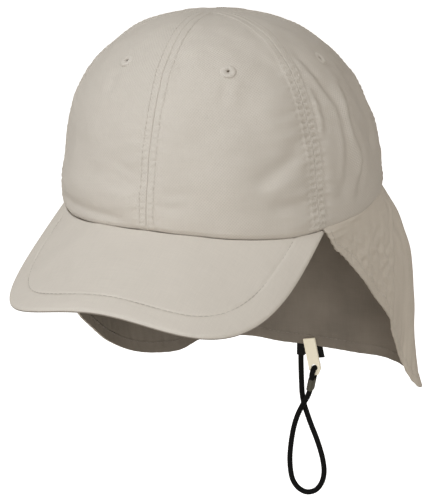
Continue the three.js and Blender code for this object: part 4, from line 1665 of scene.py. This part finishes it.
    def build(self) -> bpy.types.Object:
        """Make the flap and its hem's stitching.

        Returns:
            The flap.
        """
        reach = self.hem + 0.002
        hung = crowded_ends(self.length, self.fine_step, self.coarse_step, reach)
        rows = np.concatenate([hung, [1.0 + 0.02]])
        rows = rows / rows[-1]
        last = rows[-2]
        sheet = Sheet(crowded_ends(self.round_length, self.fine_step, self.coarse_step, reach), rows)
        tucked = sheet.along > last
        down = np.clip(1.0 - sheet.along / last, 0.0, 1.0)
        points, _ = self.surface(sheet.across, down)
        _, share = self.relief(sheet.across, down)
        turn = self.rim_turn(self.rib_values(sheet.across)["along"])
        x, y = self.rim.plan(turn, 0.0009)
        inside = np.stack([x, y, self.rim.height(turn) + 0.0022], -1)
        points = np.where(tucked[:, None], inside, points)
        around, below, _ = self.chart(sheet.across, down)
        sheet.lay(points, np.stack([around, -below], -1) + np.array([0.0, 0.2]))
        sheet.weigh(share)
        # The outer cloth is the lightened one, carrying that painted light.
        material = self.finishes.of(self.finishes.flap)
        piece = placed_piece(sheet.mesh, "neck_flap_cloth", "cap", material, ("neck_flap",))
        piece.vertex_groups.new(name="Wall share")
        thickened(piece, self.wall, "Wall share")
        # The inner wall takes the darker cloth, painted shade for the inside of the flap.
        piece.data.materials.append(self.finishes.of(self.finishes.inside_painted_shade))
        piece.modifiers["Wall"].material_offset = 1
        self.stitching()
        return piece

    def stitching(self) -> None:
        """Sew the hem's row of stitches along the front edges and the foot, outside and inside."""
        mesh = bmesh.new()
        row = StitchRow(pitch=0.0031, length=0.0025)
        inset = self.hem - self.stitch_inset
        around, _, _ = self.chart(np.array(1.0), np.array(0.5))
        start = inset / float(around)
        for share in (start, 1.0 - start):
            _, _, short = self.chart(np.array(share), np.array(0.0))
            down = np.linspace(0.02, 1.0 - inset / float(short), 120)
            line, away = self.surface(np.full(120, share), down)
            row.sew(mesh, line + away * 0.00006, away)
        shares = np.linspace(start, 1.0 - start, 900)
        _, _, length = self.chart(shares, np.zeros(900))
        line, away = self.surface(shares, 1.0 - inset / length)
        row.sew(mesh, line + away * 0.00006, away)
        material = self.finishes.of(self.finishes.thread)
        placed_piece(smoothed(mesh), "flap_hem_stitching", "cap", material)
        within = bmesh.new()
        row.sew(within, line - away * (self.wall * 0.88 + 0.00012), -away)
        # The inner row's thread carries the same painted shade as the flap's inner side.
        material = self.finishes.of(self.finishes.inside_painted_shade_thread)
        placed_piece(smoothed(within), "flap_hem_inner_stitching", "cap", material)


@dataclass
class LeashCord:
    """The leash's braided cord, from its webbing round the loop and through the clip's hole.

    Attributes:
        finishes: The cap's finishes.
        origin: Where the route is measured from, in millimetres.
        diameter: The cord's diameter.
        length: Its real length; not used.
        around: Faces round it.
        step: Distance from one ring of points to the next.
        braid_turn: Length in which a carrier of the braid goes once round.
        braid_height: How much the carriers stand out.
        route: Points that its middle line goes through, in millimetres.
    """

    finishes: Finishes
    origin: tuple[float, float, float] = (7.97, 123.582, -134.325)
    diameter: float = 0.0036
    length: float = 0.222
    around: int = 32
    step: float = 0.00038
    braid_turn: float = 0.0072
    braid_height: float = 0.00011
    route: tuple[tuple[float, float, float], ...] = (
        (-8.6, 3.8, -8.7),
        (-8.4, 3.8, -15),
        (-8.1, 3.8, -22),
        (-7.7, 3.8, -29),
        (-7.2, 3.8, -36),
        (-5.8, 3.7, -43.2),
        (-3, 3.4, -50.7),
        (0, 3, -57.7),
        (3.6, 2.6, -65.3),
        (7, 2.2, -73.7),
        (9.6, 1.8, -82.2),
        (10.6, 1.5, -90),
        (9.3, 1.2, -97.6),
        (5, 0.9, -104.2),
        (-1.4, 0.6, -106.8),
        (-7.2, 0.3, -104.8),
        (-11.2, 0, -99.7),
        (-13, -0.2, -92.7),
        (-13.6, -0.5, -83.2),
        (-13.1, -0.7, -74.7),
        (-12.2, -0.8, -67.2),
        (-10.7, -1, -59),
        (-8.2, -1.1, -50.5),
        (-4.8, -1.2, -42.7),
        (-1.4, -1.1, -36),
        (0.35, -1.15, -30.85),
        (1.1, -1.95, -27.2),
        (1.75, -2.9, -23.8),
        (2.3, -3.7, -20.4),
        (2.65, -4.05, -18.1),
        (3.0, -3.35, -15.95),
        (3.15, -1.1, -14.8),
        (3.0, 1.15, -15.95),
        (2.65, 2.0, -18.1),
        (2.3, 1.7, -20.4),
        (1.85, 1.0, -23.2),
    )

    def centreline(self) -> Array:
        """The cord's middle line through the route's points.

        Returns:
            Points along it, a step apart.
        """
        knots = (np.array(self.route) + np.array(self.origin)) / 1000.0
        padded = np.concatenate([[2 * knots[0] - knots[1]], knots, [2 * knots[-1] - knots[-2]]])
        gaps = np.sqrt(np.linalg.norm(np.diff(padded, axis=0), axis=1))
        times = np.concatenate([[0.0], np.cumsum(gaps)])
        line = []
        for i in range(1, len(padded) - 2):
            t0, t1, t2, t3 = times[i - 1 : i + 3]
            p0, p1, p2, p3 = padded[i - 1 : i + 3]
            for t in np.linspace(t1, t2, 40, endpoint=False):
                a1 = (t1 - t) / (t1 - t0) * p0 + (t - t0) / (t1 - t0) * p1
                a2 = (t2 - t) / (t2 - t1) * p1 + (t - t1) / (t2 - t1) * p2
                a3 = (t3 - t) / (t3 - t2) * p2 + (t - t2) / (t3 - t2) * p3
                b1 = (t2 - t) / (t2 - t0) * a1 + (t - t0) / (t2 - t0) * a2
                b2 = (t3 - t) / (t3 - t1) * a2 + (t - t1) / (t3 - t1) * a3
                line.append((t2 - t) / (t2 - t1) * b1 + (t - t1) / (t2 - t1) * b2)
        line.append(knots[-1])
        fine = np.array(line)
        run = run_along(fine)
        places = np.linspace(0.0, run[-1], int(run[-1] / self.step) + 1)
        return np.stack([np.interp(places, run, fine[:, i]) for i in range(3)], -1)

    def build(self) -> bpy.types.Object:
        """Make the cord as a tube with a braided surface.

        Returns:
            The cord.
        """
        line = self.centreline()
        forward = unit(np.gradient(line, axis=0))
        sides = [np.cross(forward[0], (0.0, 1.0, 0.0))]
        for ahead in forward[1:]:
            side = sides[-1] - ahead * np.dot(sides[-1], ahead)
            sides.append(side)
        side = unit(np.array(sides))
        other = np.cross(forward, side)
        rows = np.linspace(0.0, 1.0, len(line))
        sheet = Sheet(np.linspace(0.0, 1.0, self.around + 1), rows)
        index = np.rint(sheet.along * (len(line) - 1)).astype(int)
        angle = sheet.across * 2 * math.pi
        run = index * self.step
        twist = 2 * math.pi * run / self.braid_turn
        one = np.cos(4 * angle + 4 * twist)
        two = np.cos(4 * angle - 4 * twist)
        radius = self.diameter / 2 - 0.00005 + self.braid_height * np.maximum(one, two)
        spoke = np.cos(angle)[:, None] * side[index] + np.sin(angle)[:, None] * other[index]
        flat = np.stack([sheet.across * math.pi * self.diameter, run], -1)
        sheet.lay(line[index] + spoke * radius[:, None], flat)
        sealed(sheet.mesh)
        material = self.finishes.of(self.finishes.cord)
        nodes = ("leash_cord", "leash_eye")
        piece = placed_piece(sheet.mesh, "leash_braided_cord", "cap", material, nodes)
        log.info("cord length %.4f m", float(np.linalg.norm(np.diff(line, axis=0), axis=1).sum()))
        return piece


@dataclass
class HardPieces:
    """The clip and its jaw, the crimp and the webbing as rounded copies of their solids, and the pin's
    finish.

    Attributes:
        finishes: The cap's finishes.
        rounding: Rounding of the clip's edges.
        soft_rounding: Rounding of the crimp's and the webbing's edges.
    """

    finishes: Finishes
    rounding: float = 0.00032
    soft_rounding: float = 0.0004

    def copy(self, node: str, rounding: float, sharp: float = 25.0) -> bmesh.types.BMesh:
        """A solid's mesh with its flat faces joined and its edges rounded.

        Args:
            node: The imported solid.
            rounding: The width of the rounding.
            sharp: The least angle of an edge that is rounded, in degrees.

        Returns:
            The mesh.
        """
        mesh = bmesh.new()
        mesh.from_mesh(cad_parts[node].data)
        bmesh.ops.remove_doubles(mesh, verts=mesh.verts, dist=JOIN_DISTANCE)
        bmesh.ops.dissolve_limit(mesh, angle_limit=math.radians(1.0), verts=mesh.verts, edges=mesh.edges)
        edges = [e for e in mesh.edges if e.is_manifold and e.calc_face_angle() > math.radians(sharp)]
        bmesh.ops.bevel(
            mesh,
            geom=edges,
            offset=rounding,
            affect="EDGES",
            segments=3,
            profile=0.5,
            material=-1,
            clamp_overlap=True,
        )
        return smoothed(mesh)

    def finish(self, piece: bpy.types.Object) -> bpy.types.Object:
        """Keep a rounded piece's flat faces flat in the shading.

        Args:
            piece: The piece.

        Returns:
            The same piece.
        """
        weighted = piece.modifiers.new("Flat faces", "WEIGHTED_NORMAL")
        weighted.keep_sharp = True
        return piece

    def crimp(self) -> bpy.types.Object:
        """Make the crimped sleeve.

        Returns:
            The sleeve.
        """
        material = self.finishes.of(self.finishes.sleeve)
        mesh = self.copy("cord_crimp", self.soft_rounding, 40.0)
        piece = placed_piece(mesh, "cord_crimp_sleeve", "cap", material, ("cord_crimp",))
        return self.finish(piece)

    def build(self) -> None:
        """Make the clip and the webbing."""
        plastic = self.finishes.of(self.finishes.plastic)
        for node, name, body, share in (
            ("clip_front", "clip_front_plate", "cap", 1.0),
            ("clip_lever", "clip_rear_jaw", "clip_jaw", 0.8),
        ):
            mesh = self.copy(node, self.rounding * share)
            self.finish(placed_piece(mesh, name, body, plastic, (node,)))
        pin_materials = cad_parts["clip_pin"].data.materials
        pin_materials.clear()
        pin_materials.append(self.finishes.of(self.finishes.pin))
        webbing = self.finishes.of(self.finishes.webbing)
        for node, name in (("hem_tab", "hem_webbing_tab"), ("cord_anchor", "cord_anchor_webbing")):
            mesh = self.copy(node, self.soft_rounding)
            chart = mesh.loops.layers.uv.new("Cloth")
            for face in mesh.faces:
                for loop in face.loops:
                    loop[chart].uv = (loop.vert.co.x + loop.vert.co.y, loop.vert.co.z)
            self.finish(placed_piece(mesh, name, "cap", webbing, (node,)))


@dataclass(frozen=True)
class Lamp:
    """A soft square light.

    Attributes:
        name: The light's name.
        place: Where it stands.
        size: Its side.
        watts: Its power.
        colour: Its colour.
    """

    name: str
    place: tuple[float, float, float]
    size: float
    watts: float
    colour: tuple[float, float, float]


@dataclass
class Studio:
    """The pale floor, the soft lights and the camera at the photograph's angle.

    Attributes:
        azimuth: The camera's turn from the front to the wearer's left, in degrees.
        elevation: Its height over the cap, in degrees.
        distance: Its distance from what it is aimed at.
        lens: Its focal length in millimetres.
        aim_right: Where it is aimed, to its own right.
        aim_height: Where it is aimed, in height.
        floor_height: Height of the floor.
        lit_point: What the soft lights face.
        air_colour: Colour of the light from all round.
        air_strength: Its strength.
        lamps: The soft lights.
    """

    azimuth: float = 24.7234
    elevation: float = 16.5031
    distance: float = 0.825162
    lens: float = 104.155
    aim_right: float = -0.0050365
    aim_height: float = -0.0361255
    floor_height: float = -0.3
    lit_point: tuple[float, float, float] = (0.0, 0.0, -0.02)
    air_colour: tuple[float, float, float] = (1.0, 0.92, 0.81)
    air_strength: float = 0.355
    lamps: tuple[Lamp, ...] = (
        Lamp("key_light", (-0.75, -1.25, 1.15), 1.1, 17.0, (0.84, 0.92, 1.0)),
        Lamp("near_side_light", (1.2, -0.9, 1.1), 1.3, 4.6, (0.85, 0.9, 1.0)),
        Lamp("low_near_light", (0.9, -1.1, 0.15), 0.8, 5.1, (0.92, 0.97, 1.0)),
        Lamp("low_far_light", (-0.7, -1.3, 0.2), 0.8, 2.9, (0.92, 0.93, 1.0)),
    )

    def camera(self) -> None:
        """Place the camera."""
        turn, lift = math.radians(self.azimuth), math.radians(self.elevation)
        back = Vector((math.sin(turn) * math.cos(lift), -math.cos(turn) * math.cos(lift), math.sin(lift)))
        right = Vector((math.cos(turn), math.sin(turn), 0.0))
        data = bpy.data.cameras.new("photo_camera")
        data.sensor_width = 36.0
        data.lens = self.lens
        data.clip_start = 0.05
        data.clip_end = 50.0
        camera = bpy.data.objects.new("photo_camera", data)
        aim = right * self.aim_right + Vector((0.0, 0.0, self.aim_height))
        camera.location = aim + back * self.distance
        camera.rotation_euler = (-back).to_track_quat("-Z", "Y").to_euler()
        bpy.context.scene.collection.objects.link(camera)
        bpy.context.scene.camera = camera

    def stand(
        self, data: bpy.types.Light, place: tuple[float, float, float], target: tuple[float, float, float]
    ) -> None:
        """Stand a light at a place and turn it to a target.

        Args:
            data: The light.
            place: Where it stands.
            target: What it faces.
        """
        lamp = bpy.data.objects.new(data.name, data)
        lamp.location = place
        lamp.rotation_euler = (Vector(target) - Vector(place)).to_track_quat("-Z", "Y").to_euler()
        bpy.context.scene.collection.objects.link(lamp)

    def light(self, lamp: Lamp) -> None:
        """Add a soft light that faces the cap.

        Args:
            lamp: The light.
        """
        data = bpy.data.lights.new(lamp.name, "AREA")
        data.shape = "SQUARE"
        data.size = lamp.size
        data.energy = lamp.watts
        data.color = lamp.colour
        self.stand(data, lamp.place, self.lit_point)

    def spot(self) -> None:
        """Add the narrow light under the brim that reaches the clip."""
        data = bpy.data.lights.new("clip_light", "SPOT")
        data.energy = 9.0
        data.color = (1.0, 0.97, 0.92)
        data.spot_size = math.radians(9.0)
        data.spot_blend = 1.0
        data.shadow_soft_size = 0.06
        self.stand(data, (0.02, -1.2, -0.26), (0.008, 0.12, -0.155))

    def staged(self, name: str, mesh: bmesh.types.BMesh, tree: NodeTree) -> bpy.types.Object:
        """Put a mesh on the stage, seen by the camera and throwing no light on the cap.

        Args:
            name: The thing's name.
            mesh: Its mesh. It is freed.
            tree: Its material's node tree.

        Returns:
            The thing.
        """
        data = bpy.data.meshes.new(name)
        mesh.to_mesh(data)
        mesh.free()
        data.materials.append(tree.material)
        thing = bpy.data.objects.new(name, data)
        thing.visible_diffuse = False
        thing.visible_glossy = False
        bpy.context.scene.collection.objects.link(thing)
        return thing

    def floor(self) -> None:
        """Lay the pale floor."""
        mesh = bmesh.new()
        bmesh.ops.create_grid(mesh, x_segments=8, y_segments=8, size=12.0)
        bmesh.ops.translate(mesh, verts=mesh.verts, vec=(0.0, 0.0, self.floor_height))
        tree = NodeTree("pale_floor")
        place = tree.add("ShaderNodeTexCoord").outputs["Object"]
        tone = tree.math("SUBTRACT", tree.noise(place, 3.0, 2.0), 0.5)
        tree.tinted((0.93, 0.93, 0.93), tree.math("ADD", 1.0, tree.math("MULTIPLY", tone, 0.01)))
        tree.set(Roughness=0.95, Emission_Color=(1.0, 1.0, 1.0, 1.0), Emission_Strength=0.85)
        self.staged("studio_floor", mesh, tree)

    def backdrop(self) -> None:
        """Hang the white backdrop round the whole studio."""
        mesh = bmesh.new()
        bmesh.ops.create_uvsphere(mesh, u_segments=48, v_segments=24, radius=9.0)
        bmesh.ops.reverse_faces(mesh, faces=mesh.faces)
        tree = NodeTree("white_backdrop")
        tree.set(Roughness=1.0, Emission_Color=(1.0, 1.0, 1.0, 1.0), Emission_Strength=1.0)
        self.staged("studio_backdrop", smoothed(mesh), tree).visible_shadow = False

    def build(self) -> None:
        """Light the scene and set how it is viewed."""
        self.floor()
        self.backdrop()
        for lamp in self.lamps:
            self.light(lamp)
        self.spot()
        world = bpy.data.worlds.new("studio_air")
        world.use_nodes = True
        air = world.node_tree.nodes["Background"].inputs
        air["Color"].default_value = (*self.air_colour, 1.0)
        air["Strength"].default_value = self.air_strength
        bpy.context.scene.world = world
        bpy.context.scene.view_settings.view_transform = "Standard"


def main() -> None:
    """Build the studio and the cap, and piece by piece."""
    logging.basicConfig(level=logging.INFO, format="%(message)s")
    studio = Studio()
    studio.camera()
    finishes = Finishes()
    hard = HardPieces(finishes)
    hard.crimp()
    LeashCord(finishes).build()
    rim = HeadRim()
    Crown(rim, finishes).build()
    Brim(rim, finishes).build()
    flap = NeckFlap(rim, finishes).build()
    hard.build()
    studio.build()


if __name__ == "__main__":
    main()
